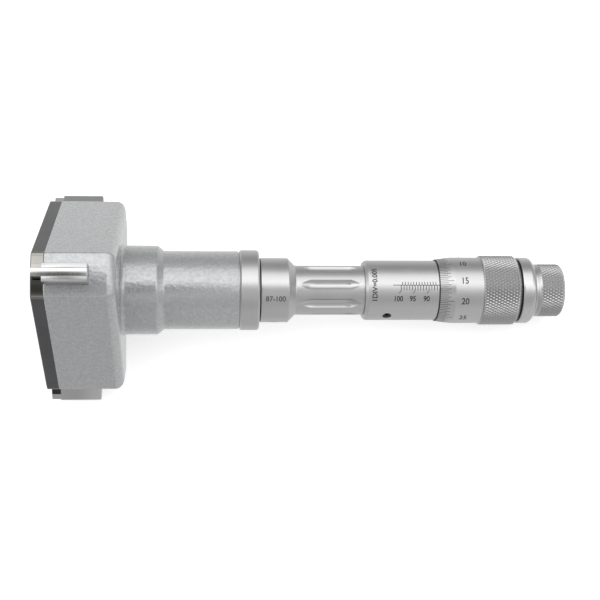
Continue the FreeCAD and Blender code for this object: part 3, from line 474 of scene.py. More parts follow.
neck_profile += [(HEAD_BACK + COLLAR_ROOT + 0.3, COLLAR_RADIUS),
                 (COLLAR_END - 0.6, COLLAR_RADIUS), (COLLAR_END - 0.3, COLLAR_RADIUS),
                 (COLLAR_END, COLLAR_RADIUS - 0.09), (COLLAR_END + 0.25, COLLAR_RADIUS - 0.28),
                 (NECK_START - 0.3, NECK_RADIUS + 0.22), (NECK_START, NECK_RADIUS + 0.05),
                 (NECK_START + 0.3, NECK_RADIUS), (NECK_START + 0.8, NECK_RADIUS),
                 (SKIRT_END - 0.5, NECK_RADIUS), (SKIRT_END - 0.25, NECK_RADIUS - 0.03),
                 (SKIRT_END - 0.05, NECK_RADIUS - 0.12), (SKIRT_END, NECK_RADIUS - 0.3),
                 (SKIRT_END, NECK_RADIUS - 0.6), (NECK_END, NECK_RADIUS - 0.6),
                 (NECK_END, SPIGOT_BORE), (BUSH_BACK, SPIGOT_BORE),
                 (BUSH_BACK, BUSH_BORE), (CONE_BORE_END, BUSH_BORE), (CONE_BORE_END, CONE_BORE),
                 (PLATE_BACK, CONE_BORE)]
head_rings += [(station, circle_for(back_edge, radius)) for station, radius in neck_profile]
stations = np.array([station for station, ring in head_rings])[:, None]
rings = np.stack([ring for station, ring in head_rings])
head_casting = mesh_piece("head_casting_painted", on_tool(stations, rings[..., 0], rings[..., 1]),
                          quads(len(head_rings), len(full), True, True), enamel, crease=HEAD_CREASE)
slot_front, slot_top = PLATE_BACK - OVERSHOOT, TURNED_RADIUS + OVERSHOOT
slot_cutters = [bar("slot", [(slot_front, 0), (slot_front, slot_top), (SLOT_BACK, slot_top),
                             (SLOT_BACK, SLOT_LEDGE), (SLOT_FLOOR, SLOT_LEDGE), (SLOT_FLOOR, 0)],
                    SLOT_HALF_WIDTH, turned, enamel) for turned in ANVIL_TURNS.values()]
combine(head_casting, slot_cutters, crease=HEAD_CREASE)
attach(head_casting, "frame")
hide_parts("head_casting")


# The front plate is cut from dark gauge steel and ground on its edges. It closes the anvil
# slots, has a notch behind it for the nose of each anvil, and is held by three countersunk
# screws.

PLATE_CHAMFER = 0.3
PLATE_SKIN = 0.85
NOTCH_HALF_WIDTH = 1.7
NOTCH_ROOT = 26.0
NOTCH_TOP = 40.0
NOTCH_BACK = 6.0
SCREW_CIRCLE = 18.5
SCREW_RADIUS = 1.5
SCREW_HOLE_RADIUS = 1.55
SCREW_HOLE_BACK = 6.0
SCREW_HEAD_RADIUS = 2.9
SCREW_LENGTH = 11.0
SCREW_TURNS = (180.0, 300.0, 60.0)
FLAT_STEEL_DARK = (0.085, 0.086, 0.09)
FLAT_STEEL_LIGHT = (0.16, 0.16, 0.165)
TURNED_STEEL_DARK = (0.17, 0.167, 0.155)
TURNED_STEEL_LIGHT = (0.37, 0.362, 0.335)


def ground_steel():
    """Dark steel with fine grinding marks, bright where the short sides are turned."""
    steel = Finish("ground_plate_steel", FLAT_STEEL_LIGHT, 0.26, 1.0)
    marks = steel.lines(far_side, 0.16) * 0.5 + steel.lines(first_anvil, 0.16) * 0.5
    clouds = steel.noise(9.0, detail=4.0)
    shares = (marks * 0.75 + clouds * 0.25).between(0.35, 0.65)
    turned = steel.off_line().between(TURNED_RADIUS - 0.8, TURNED_RADIUS - 0.3)
    steel.set("Base Color", steel.mix(
        turned, steel.mix(shares, FLAT_STEEL_DARK, FLAT_STEEL_LIGHT),
        steel.mix(shares, TURNED_STEEL_DARK, TURNED_STEEL_LIGHT)))
    steel.set("Roughness", 0.26 + marks * 0.14 - turned * 0.2)
    steel.bump(marks, 0.006)
    return steel


def turned_bar(name, profile, shift, turned, finish, columns=48, crease=CREASE):
    """A profile of (station, radius) spun about a line parallel to the spindle line, shift
    millimetres out from it. The profile starts and ends at radius 0."""
    profile = np.array(profile, dtype=float)
    turn = np.linspace(0.0, 2 * math.pi, columns, endpoint=False)[None, :]
    station, radius = profile[:, :1], profile[:, 1:]
    places = on_tool(station + 0 * turn, radius * np.sin(turn), shift + radius * np.cos(turn),
                     turned)
    return mesh_piece(name, places, quads(len(profile), columns, False, True), finish, crease)


plate_steel = ground_steel()
plate_rings = [(PLATE_BACK, 0.12, 0.0), (PLATE_BACK, 0.12, 1.0), (PLATE_BACK - 0.12, 0.0, 1.0),
               (PLATE_CHAMFER, 0.0, 1.0), (0.0, PLATE_CHAMFER, 1.0), (0.0, PLATE_CHAMFER, 0.0)]
plate_places = [on_tool(station, *(head_outline(inset) * share).T)
                for station, inset, share in plate_rings]
front_plate = mesh_piece("front_plate_ground", np.stack(plate_places),
                         quads(len(plate_rings), len(full), False, True), plate_steel)
plate_cutters = [bar("notch", [(PLATE_SKIN, NOTCH_ROOT), (PLATE_SKIN, NOTCH_TOP),
                               (NOTCH_BACK, NOTCH_TOP), (NOTCH_BACK, NOTCH_ROOT)],
                     NOTCH_HALF_WIDTH, turned, plate_steel) for turned in ANVIL_TURNS.values()]
plate_cutters += [turned_bar("screw_hole", [
    (-1.0, 0.0), (-1.0, SCREW_HEAD_RADIUS + 1.0),
    (SCREW_HEAD_RADIUS - SCREW_RADIUS, SCREW_HOLE_RADIUS), (SCREW_HOLE_BACK, SCREW_HOLE_RADIUS),
    (SCREW_HOLE_BACK, 0.0)], SCREW_CIRCLE, turned, plate_steel) for turned in SCREW_TURNS]
combine(front_plate, plate_cutters)
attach(front_plate, "frame")
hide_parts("front_plate")


# The plate's screws are blackened steel with a countersunk, slotted head. Each is turned from
# bar, slotted, and sits just below the face of the plate.

BLACKENED = (0.018, 0.018, 0.02)
SCREW_FACE = 0.1
SCREW_SLOT_HALF = 0.4
SCREW_SLOT_DEPTH = 0.8


def black_oxide():
    """Blackened steel: nearly black, half glossy, with fine turning marks."""
    oxide = Finish("black_oxide", BLACKENED, 0.38, 0.4)
    haze = oxide.noise(1.5, detail=4.0)
    oxide.set("Base Color", oxide.mix(haze.between(0.35, 0.7), BLACKENED, (0.035, 0.035, 0.038)))
    oxide.set("Roughness", 0.3 + haze * 0.2)
    oxide.bump(oxide.lines(spindle_line, 0.15), 0.003)
    return oxide


oxide = black_oxide()
head_height = SCREW_HEAD_RADIUS - SCREW_RADIUS
screw_profile = [(SCREW_FACE, 0.0), (SCREW_FACE, SCREW_HEAD_RADIUS - 0.35),
                 (SCREW_FACE + 0.04, SCREW_HEAD_RADIUS - 0.2),
                 (SCREW_FACE + 0.14, SCREW_HEAD_RADIUS - 0.16),
                 (head_height, SCREW_RADIUS), (SCREW_LENGTH - 0.4, SCREW_RADIUS),
                 (SCREW_LENGTH, SCREW_RADIUS - 0.4), (SCREW_LENGTH, 0.0)]
for number, turned in enumerate(SCREW_TURNS, start=1):
    screw = turned_bar(f"plate_screw_{number}", screw_profile, SCREW_CIRCLE, turned, oxide)
    slot = bar("screw_slot", [(SCREW_FACE - 1, SCREW_CIRCLE - SCREW_SLOT_HALF),
                              (SCREW_FACE - 1, SCREW_CIRCLE + SCREW_SLOT_HALF),
                              (SCREW_FACE + SCREW_SLOT_DEPTH, SCREW_CIRCLE + SCREW_SLOT_HALF),
                              (SCREW_FACE + SCREW_SLOT_DEPTH, SCREW_CIRCLE - SCREW_SLOT_HALF)],
               4.0, turned, oxide)
    combine(screw, [slot])
    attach(screw, "frame")
    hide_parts("front_plate_screws")


# Three anvils slide out of the head. Each is a ground steel block with a foot that bears on
# the measuring cone and a narrow blackened nose in front, and a hard-metal strip is brazed
# into a groove along its top.

ANVIL_FRONT = 4.35
ANVIL_BACK = 18.85
ANVIL_HALF_WIDTH = 3.1
ANVIL_ROOT = 12.0
ANVIL_BEVEL = 0.12
FOOT_FRONT = 15.0
CONE_TIP_STATION = 20.0
FOOT_RADIUS = 2.72
FOOT_BACK = 26.6
FOOT_RISE = 3.3
FOOT_TOP = 17.0
WING_RADIUS = 42.31
CROWN_RADIUS = 42.68
STRIP_HALF_WIDTH = 1.35
STRIP_SEAT = 40.88
STRIP_CREST = 43.08
STRIP_EDGE = 0.12
STRIP_BEVEL = 0.1
GROOVE_HALF_WIDTH = 1.37
GROOVE_TOP = 45.0
WING_CUT_TOP = 44.0
CREST_RADIUS = 8.0
NOSE_FRONT = 0.9
NOSE_ROOT = 27.0
ANVIL_COLOUR = (0.58, 0.58, 0.585)
HARD_METAL_COLOUR = (0.64, 0.64, 0.63)


def ground_anvil_steel():
    """Bright steel, ground along the spindle line."""
    steel = Finish("ground_anvil_steel", ANVIL_COLOUR, 0.3, 1.0)
    marks = steel.lines(far_side, 0.1) * 0.5 + steel.lines(first_anvil, 0.1) * 0.5
    steel.set("Base Color", steel.mix(marks.between(0.3, 0.7), (0.5, 0.5, 0.505), ANVIL_COLOUR))
    steel.set("Roughness", 0.24 + marks * 0.12)
    steel.bump(marks, 0.003)
    return steel


def lapped_hard_metal():
    """Hard metal lapped smooth, a little warmer than the steel."""
    metal = Finish("lapped_hard_metal", HARD_METAL_COLOUR, 0.16, 1.0)
    haze = metal.noise(2.0, detail=5.0)
    metal.set("Base Color", metal.mix(haze, (0.58, 0.58, 0.57), HARD_METAL_COLOUR))
    metal.set("Roughness", 0.12 + haze * 0.1)
    return metal


def soften_edges(piece, width):
    """Bevel the edges by that many millimetres, and keep the flat faces flat to the light."""
    bevel = piece.modifiers.new("bevel", "BEVEL")
    bevel.width = width / 1000
    bevel.segments = 2
    bevel.limit_method = "ANGLE"
    bevel.angle_limit = math.radians(30)
    apply_modifiers(piece)


anvil_steel = ground_anvil_steel()
hard_metal = lapped_hard_metal()
side_view = [(ANVIL_FRONT, ANVIL_ROOT), (FOOT_FRONT, ANVIL_ROOT), (FOOT_FRONT, FOOT_RADIUS),
             (CONE_TIP_STATION, FOOT_RADIUS), (FOOT_BACK, FOOT_RADIUS + FOOT_RISE),
             (FOOT_BACK, FOOT_TOP), (ANVIL_BACK, FOOT_TOP), (ANVIL_BACK, CROWN_RADIUS),
             (ANVIL_FRONT, CROWN_RADIUS)]
wing_cut = [(STRIP_HALF_WIDTH, CROWN_RADIUS), (ANVIL_HALF_WIDTH, WING_RADIUS),
            (ANVIL_HALF_WIDTH + 1, WING_RADIUS), (ANVIL_HALF_WIDTH + 1, WING_CUT_TOP),
            (STRIP_HALF_WIDTH, WING_CUT_TOP)]
crest_across = np.linspace(-1.0, 1.0, 15) * (STRIP_HALF_WIDTH - STRIP_EDGE)
crest = STRIP_CREST - CREST_RADIUS + np.sqrt(CREST_RADIUS ** 2 - crest_across ** 2)
strip_profile = [(-STRIP_HALF_WIDTH, STRIP_SEAT), (-STRIP_HALF_WIDTH, crest[0] - STRIP_EDGE),
                 *zip(crest_across, crest), (STRIP_HALF_WIDTH, crest[0] - STRIP_EDGE),
                 (STRIP_HALF_WIDTH, STRIP_SEAT)]


def long_bar(name, outline, start, end, turned, finish, edge=0.0):
    """An outline of (across, out), carried along the spindle line from start to end, and drawn
    in by edge at both ends."""
    outline = np.array(outline, dtype=float)
    middle = outline.mean(axis=0)
    drawn_in = middle + (outline - middle) * (1 - edge / np.abs(outline - middle).max())
    steps = [(start, drawn_in), (start + edge, outline), (end - edge, outline), (end, drawn_in)]
    if not edge:
        steps = [(start, outline), (end, outline)]
    count = len(outline)
    places = np.concatenate([on_tool(station, ring[:, 0], ring[:, 1], turned)
                             for station, ring in steps])
    faces = [list(face) for face in quads(len(steps), count, False, True).tolist()]
    last = (len(steps) - 1) * count
    faces += [list(range(count)), list(range(last + count - 1, last - 1, -1))]
    return ragged_piece(name, places, faces, finish)


for number, turned in ANVIL_TURNS.items():
    anvil = bar(f"anvil_{number}_ground", side_view, ANVIL_HALF_WIDTH, turned, anvil_steel)
    wings = [long_bar("wing", [(side * across, out) for across, out in wing_cut],
                      ANVIL_FRONT - 1, ANVIL_BACK + 1, turned, anvil_steel) for side in (-1, 1)]
    combine(anvil, wings)
    nose = bar(f"anvil_{number}_nose", [(NOSE_FRONT, NOSE_ROOT), (ANVIL_FRONT, NOSE_ROOT),
                                        (ANVIL_FRONT, STRIP_SEAT), (NOSE_FRONT, STRIP_SEAT)],
               STRIP_HALF_WIDTH, turned, oxide)
    groove = long_bar("groove", [(-GROOVE_HALF_WIDTH, STRIP_SEAT), (GROOVE_HALF_WIDTH, STRIP_SEAT),
                                 (GROOVE_HALF_WIDTH, GROOVE_TOP), (-GROOVE_HALF_WIDTH, GROOVE_TOP)],
                      NOSE_FRONT - 1, ANVIL_BACK + 1, turned, anvil_steel)
    combine(anvil, [groove])
    soften_edges(anvil, ANVIL_BEVEL)
    strip = long_bar(f"contact_strip_{number}_lapped", strip_profile, NOSE_FRONT, ANVIL_BACK,
                     turned, hard_metal, edge=STRIP_BEVEL)
    for piece, node, slot in ((anvil, f"anvil_{number}", "anvil_steel"),
                              (nose, f"anvil_{number}", "black_steel"),
                              (strip, f"contact_strip_{number}", "hard_metal")):
        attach(piece, f"anvil_{number}")
        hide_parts(node)


# The coupling ring is a plain turned ring, matt chromed like the handle. It sits between the
# neck and the handle on the handle's spigot, behind a narrower lip.

RING_LIP_RADIUS = 13.4
RING_FRONT = 69.05
RING_RADIUS = 14.4
RING_END = 76.05
# Painted shade colours: near black for gaps and edges, grey for the grooves of knurls.
PAINTED_CREVICE_SHADE = (0.04, 0.04, 0.042)
PAINTED_GROOVE_SHADE = (0.33, 0.33, 0.333)
SATIN_DARK = (0.52, 0.52, 0.525)
SATIN_LIGHT = (0.58, 0.58, 0.585)
SATIN_ROUGHNESS = 0.33


def rounded(corners, steps=4):
    """The outline through corners of (station, radius, rounding). Each corner becomes the curve
    (1-t)^2 start + 2t(1-t) corner + t^2 end, where start and end lie on the two sides, with one
    more point beyond each so that the sides stay flat to the light."""
    corners = np.array(corners, dtype=float)
    corner, rounding = corners[:, :2], corners[:, 2]
    back, ahead = np.roll(corner, 1, axis=0) - corner, np.roll(corner, -1, axis=0) - corner
    back_length, ahead_length = np.linalg.norm(back, axis=1), np.linalg.norm(ahead, axis=1)
    back, ahead = back / back_length[:, None], ahead / ahead_length[:, None]
    half = np.arccos(np.clip((back * ahead).sum(axis=1), -0.9999, 0.9999)) / 2
    cut = np.minimum(rounding / np.tan(half), 0.3 * np.minimum(back_length, ahead_length))
    t = np.linspace(0.0, 1.0, steps + 1)[None, :, None]
    place, reach = corner[:, None, :], cut[:, None, None]
    start, end = place + back[:, None, :] * reach, place + ahead[:, None, :] * reach
    curve = (1 - t) ** 2 * start + 2 * t * (1 - t) * place + t ** 2 * end
    before, after = place + back[:, None, :] * reach * 1.6, place + ahead[:, None, :] * reach * 1.6
    return np.concatenate([before, curve, after], axis=1).reshape(-1, 2)


def turned_piece(name, profile, finish, columns=160, crease=CREASE):
    """A profile of (station, radius) spun about the spindle line. It closes on itself, or
    starts and ends at radius 0."""
    profile = np.array(profile, dtype=float)
    turn = np.linspace(0.0, 2 * math.pi, columns, endpoint=False)[None, :]
    places = round_tool(profile[:, :1] + 0 * turn, profile[:, 1:] + 0 * turn, turn)
    closed = profile[0, 1] > 0
    return mesh_piece(name, places, quads(len(profile), columns, closed, True), finish, crease)


def satin_chrome(name, dark, light, roughness, painted_shades=()):
    """Matt chrome over turned and blasted steel: a soft even sheen, a fine grain, and very
    faint rings from turning. Each of the painted shades, (from, to, radius, depth, colour), is
    shade
    painted into the colour: that colour between two stations, from that radius down to the depth
    below it, where a groove or gap is dark."""
    chrome = Finish(name, light, roughness, 1.0)
    turning = chrome.lines(spindle_line, 0.35, detail=3.0)
    grain = chrome.noise(0.32, detail=2.0)
    haze = chrome.noise(6.0, detail=4.0)
    colour = chrome.mix((turning * 0.25 + grain * 0.45 + haze * 0.3).between(0.35, 0.65),
                        dark, light)
    # Painted shade: darken the colour inside grooves and gaps, where shade falls.
    for start, end, radius, depth, tint in painted_shades:
        inside = (chrome.station().between(start, start + 0.05)
                  - chrome.station().between(end, end + 0.05))
        clear = chrome.off_line().between(radius - depth, radius)
        colour = chrome.mix(inside * (1 - clear), colour, tint)
    chrome.set("Base Color", colour)
    chrome.set("Roughness", roughness - 0.05 + haze * 0.1)
    chrome.bump(turning * 0.3 + grain * 0.7, 0.005)
    return chrome


satin = satin_chrome("satin_chrome", SATIN_DARK, SATIN_LIGHT, SATIN_ROUGHNESS)
ring = turned_piece("coupling_ring_turned", rounded([
    (NECK_END, SPIGOT_BORE, 0.0), (NECK_END, RING_LIP_RADIUS, 0.1),
    (RING_FRONT, RING_LIP_RADIUS, 0.0), (RING_FRONT, RING_RADIUS - 0.6, 0.12),
    (RING_FRONT + 0.6, RING_RADIUS, 0.25), (RING_END - 0.6, RING_RADIUS, 0.25),
    (RING_END, RING_RADIUS - 0.6, 0.12), (RING_END, SPIGOT_BORE, 0.0)]), satin)
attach(ring, "frame")
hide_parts("coupling_ring")


# The grip body is one turned piece, matt chromed: a spigot inside the neck, a narrow undercut,
# the front sleeve with two spanner holes, a cone, and a slim grip with eight flutes that a
# round cutter leaves.

SPIGOT_FRONT = 57.3
SPIGOT_RADIUS = 9.4
SPRING_BORE = 5.7
SPRING_BORE_END = 97.65
SPINDLE_BORE = 4.4
UNDERCUT_RADIUS = 10.4
UNDERCUT_LENGTH = 0.55
SLEEVE_FRONT_RADIUS = 11.6
FRONT_SLEEVE_END = 86.45
GRIP_START = 89.1
GRIP_RADIUS = 8.9
GRIP_END = 113.9
REAR_SPIGOT_RADIUS = 7.93
REAR_SPIGOT_END = 125.5
FLUTES = 8
FLUTE_TURN = 5.0
CUTTER_LINE = 10.4
CUTTER_RADIUS = 2.5
CUTTER_TIP = 1.5
FLUTE_LEAD = 1.8
FLUTE_RUNOUT = 3.4
SPANNER_STATION = 81.15
SPANNER_RADIUS = 0.95
SPANNER_MOUTH = 3.05
SPANNER_DEPTH = 1.5
COUNTERSINK_REACH = 0.7
HOLE_CUT_TOP = 14.0
GRIP_CREASE = 22.0


def flute_half_turn(cutter):
    """Half the angle of a flute at the grip's surface, where the two circles cross:
    arccos((grip^2 + line^2 - cutter^2) / (2 grip line))."""
    ratio = (GRIP_RADIUS ** 2 + CUTTER_LINE ** 2 - cutter ** 2) / (2 * GRIP_RADIUS * CUTTER_LINE)
    return np.arccos(np.clip(ratio, -1.0, 1.0))


def grip_places():
    """The grid of the grip body. Its columns follow the edges of the flutes, and inside a flute
    the radius is line cos(turn) - sqrt(cutter^2 - line^2 sin^2(turn)), the cutter's circle."""
    front = rounded([(RING_END, SPIGOT_RADIUS, 0.0), (RING_END, UNDERCUT_RADIUS, 0.0),
                     (RING_END + UNDERCUT_LENGTH, UNDERCUT_RADIUS, 0.0),
                     (RING_END + UNDERCUT_LENGTH, SLEEVE_FRONT_RADIUS, 0.2),
                     (FRONT_SLEEVE_END, SLEEVE_FRONT_RADIUS, 0.2), (GRIP_START, GRIP_RADIUS, 0.5),
                     (GRIP_END, GRIP_RADIUS, 0.12), (GRIP_END, REAR_SPIGOT_RADIUS, 0.0),
                     (REAR_SPIGOT_END, REAR_SPIGOT_RADIUS, 0.1),
                     (REAR_SPIGOT_END, SPINDLE_BORE, 0.0), (SPRING_BORE_END, SPINDLE_BORE, 0.0),
                     (SPRING_BORE_END, SPRING_BORE, 0.0), (SPIGOT_FRONT, SPRING_BORE, 0.0),
                     (SPIGOT_FRONT, SPIGOT_RADIUS, 0.1)])
    on_grip = np.flatnonzero(np.abs(front[:, 1] - GRIP_RADIUS) < 1e-6)
    first, last = GRIP_START + FLUTE_LEAD, GRIP_END - FLUTE_LEAD
    ease = (1 - np.cos(np.linspace(0.0, math.pi / 2, 14))) * FLUTE_RUNOUT
    fluted = np.concatenate([first + ease, np.linspace(first + FLUTE_RUNOUT,
                             last - FLUTE_RUNOUT, 8)[1:-1], last - ease[::-1]])
    split = on_grip[front[on_grip, 0] < 100.0].max() + 1
    middle = np.stack([fluted, np.full(len(fluted), GRIP_RADIUS)], axis=1)
    profile = np.concatenate([front[:split], middle, front[split:]])
    station, radius = profile[:, 0], profile[:, 1]
    depth = np.clip(np.minimum(station - first, last - station) / FLUTE_RUNOUT, 0.0, 1.0)
    cutter = CUTTER_TIP + (CUTTER_RADIUS - CUTTER_TIP) * depth
    cut_here = (radius == GRIP_RADIUS) & (depth > 0)
    half = np.where(cut_here, np.maximum(flute_half_turn(cutter), 0.004),
                    flute_half_turn(CUTTER_RADIUS))
    inside, between = np.linspace(-1.0, 1.0, 15), np.linspace(0.0, 1.0, 9)[1:-1]
    pitch = 2 * math.pi / FLUTES
    turn_in = half[:, None] * inside
    turn_between = half[:, None] + (pitch - 2 * half[:, None]) * between
    hollow = (CUTTER_LINE * np.cos(turn_in) - np.sqrt(np.maximum(
        cutter[:, None] ** 2 - (CUTTER_LINE * np.sin(turn_in)) ** 2, 0.0)))
    floor = np.where(cut_here[:, None], np.minimum(hollow, GRIP_RADIUS), radius[:, None])
    one = np.concatenate([turn_in, turn_between], axis=1)
    rim = np.concatenate([floor, np.repeat(radius[:, None], len(between), axis=1)], axis=1)
    starts = np.radians(FLUTE_TURN) + pitch * np.arange(FLUTES)
    turn = (one[:, None, :] + starts[None, :, None]).reshape(len(profile), -1)
    return round_tool(station[:, None] + 0 * turn, np.tile(rim, (1, FLUTES)), turn)


def pin(name, station, inner, outer, radius, mouth, turned, finish, sides=32):
    """A round pin that points away from the spindle line. Its radius changes evenly from radius
    at inner to mouth at outer."""
    turn = np.linspace(0.0, 2 * math.pi, sides, endpoint=False)
    ends = [on_tool(station + size * np.cos(turn), size * np.sin(turn), out + 0 * turn, turned)
            for out, size in ((inner, radius), (outer, mouth))]
    faces = [list(face) for face in quads(2, sides, False, True).tolist()]
    faces += [list(range(sides)), list(range(2 * sides - 1, sides - 1, -1))]
    return ragged_piece(name, np.concatenate(ends), faces, finish)


places = grip_places()
# The undercut between the ring and the front sleeve is painted near black as shade.
grip_satin = satin_chrome("grip_satin_chrome", SATIN_DARK, SATIN_LIGHT, SATIN_ROUGHNESS, [
    (SPIGOT_FRONT - 1, RING_END + UNDERCUT_LENGTH, SLEEVE_FRONT_RADIUS - 0.05, 0.5,
     PAINTED_CREVICE_SHADE)])
grip = mesh_piece("grip_body_turned", places, quads(places.shape[0], places.shape[1], True, True),
                  grip_satin, crease=GRIP_CREASE)
hole_floor = SLEEVE_FRONT_RADIUS - SPANNER_DEPTH
sink_floor = SLEEVE_FRONT_RADIUS - COUNTERSINK_REACH
sink_mouth = SLEEVE_FRONT_RADIUS + COUNTERSINK_REACH
spanner_cutters = []
for turned in (90.0, -90.0):
    spanner_cutters.append(pin("spanner_hole", SPANNER_STATION, hole_floor, HOLE_CUT_TOP,
                               SPANNER_RADIUS, SPANNER_RADIUS, turned, grip_satin))
    spanner_cutters.append(pin("countersink", SPANNER_STATION, sink_floor, sink_mouth,
                               SPANNER_RADIUS, SPANNER_MOUTH, turned, grip_satin))
combine(grip, spanner_cutters, crease=GRIP_CREASE)
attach(grip, "frame")
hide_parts("grip_body")


# The graduated sleeve is a turned tube, matt chromed, pressed on the grip's rear spigot and
# held by a grub screw. Its scale is engraved and filled with black.

SLEEVE_RADIUS = 10.85
SLEEVE_END = 147.84
SLEEVE_BORE = 7.95
NUT_BORE = 9.35
NUT_BORE_FRONT = 143.24
GRUB_STATION = 122.0
GRUB_TURN = -66.0
GRUB_HOLE = 1.62
GRUB_CUT_FLOOR = 5.0

sleeve = turned_piece("graduated_sleeve_turned", rounded([
    (GRIP_END, SLEEVE_BORE, 0.0), (GRIP_END, SLEEVE_RADIUS - 0.6, 0.06),
    (GRIP_END + 0.95, SLEEVE_RADIUS, 0.3), (SLEEVE_END, SLEEVE_RADIUS, 0.15),
    (SLEEVE_END, NUT_BORE, 0.0), (NUT_BORE_FRONT, NUT_BORE, 0.0),
    (NUT_BORE_FRONT, SLEEVE_BORE, 0.0)]), satin, columns=192)
combine(sleeve, [pin("grub_hole", GRUB_STATION, GRUB_CUT_FLOOR, HOLE_CUT_TOP, GRUB_HOLE, GRUB_HOLE,
                     GRUB_TURN, satin)])
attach(sleeve, "frame")
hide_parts("graduated_sleeve")


# The scales are engraved lines and figures filled with black enamel. The sleeve has a line
# along it with a mark for each half millimetre of diameter, and the thimble 100 divisions
# round its bevel. Each mark is a thin skin that follows the round metal.

MARK_PROUD = 0.012
MARK_SUNK = 0.06
INK = (0.014, 0.014, 0.015)
ZERO_STATION = 126.4
LARGEST_READING = 100.0
SMALLEST_READING = 87.0
INDEX_TURN = 1.7
INDEX_START = 123.5
INDEX_END = 146.5
LINE_WIDTH = 0.24
THIMBLE_LINE_WIDTH = 0.19
WHOLE_MARK = 1.85
HALF_MARK = 1.2
LEADER_ROUND = 1.1
LEADER_SLANT = -0.75
FIGURE_HEIGHT = 1.9
FIGURE_TURN = -24.0
FIGURE_LEAD = 0.8
LEGEND_HEIGHT = 1.75
LEGEND_WIDTH = 1.06
LEGEND_STATION = 117.0
LEGEND_TURN = 4.4
SPAN_HEIGHT = 1.85
SPAN_WIDTH = 0.96
SPAN_STATION = 81.7
SPAN_TURN = -23.3
THIMBLE_EDGE = 140.24
THIMBLE_EDGE_RADIUS = 11.2
PAINTED_EDGE_SHADE = 0.3
BEVEL_END = 146.04
THIMBLE_RADIUS = 12.0
DIVISIONS = 100
RESTING_DIVISION = 32.0
TENTH_MARK = 5.2
EVEN_MARK = 4.1
ODD_MARK = 3.15
FIGURE_STATION = 149.5
FIGURE_WEIGHT = 0.034
THIMBLE_FIGURE_WEIGHT = 0.02
SPAN_WEIGHT = 0.012
THIMBLE_FIGURE_HEIGHT = 2.35
THIMBLE_FIGURE_WIDTH = 0.86
TYPE_SIZE = 1.42
FIGURE_STEP = 0.3


def black_fill():
    """Matt black enamel in the engraved lines."""
    fill = Finish("black_fill", INK, 0.5)
    grain = fill.noise(0.4)
    fill.set("Base Color", fill.mix(grain, INK, (0.03, 0.03, 0.032)))
    fill.set("Roughness", 0.42 + grain * 0.16)
    return fill


fill = black_fill()


def sleeve_surface(station):
    """The radius of the graduated sleeve, the same at every station."""
    return SLEEVE_RADIUS + 0 * station


def front_sleeve_surface(station):
    """The radius of the front sleeve, the same at every station."""
    return SLEEVE_FRONT_RADIUS + 0 * station


def thimble_surface(station):
    """The edge radius, rising evenly over the bevel to the thimble's radius."""
    share = np.clip((station - THIMBLE_EDGE) / (BEVEL_END - THIMBLE_EDGE), 0.0, 1.0)
    return THIMBLE_EDGE_RADIUS + (THIMBLE_RADIUS - THIMBLE_EDGE_RADIUS) * share


def line_marks(name, marks, surface):
    """Marks of (station from, to, degrees from, to, slant), each a closed skin swept round in
    steps with the corners (from, sunk), (from, proud), (to, proud), (to, sunk), which move
    along by the slant on the way."""
    marks = np.array(marks, dtype=float)
    steps = 9
    turn = np.radians(np.linspace(marks[:, 2], marks[:, 3], steps, axis=1))[:, :, None]
    moved = np.linspace(0.0, 1.0, steps)[None, :, None] * marks[:, 4][:, None, None]
    station = np.repeat(marks[:, None, [0, 0, 1, 1]], steps, axis=1) + moved
    height = np.array([-MARK_SUNK, MARK_PROUD, MARK_PROUD, -MARK_SUNK])
    places = round_tool(station, surface(station) + height, turn + 0 * station)
    one = quads(steps, 4, False, True).tolist()
    last = 4 * (steps - 1)
    one += [[0, 1, 2, 3], [last + 3, last + 2, last + 1, last]]
    faces = (np.array(one)[None] + 4 * steps * np.arange(len(marks))[:, None, None])
    return mesh_piece(name, places, faces.reshape(-1, 4), fill)


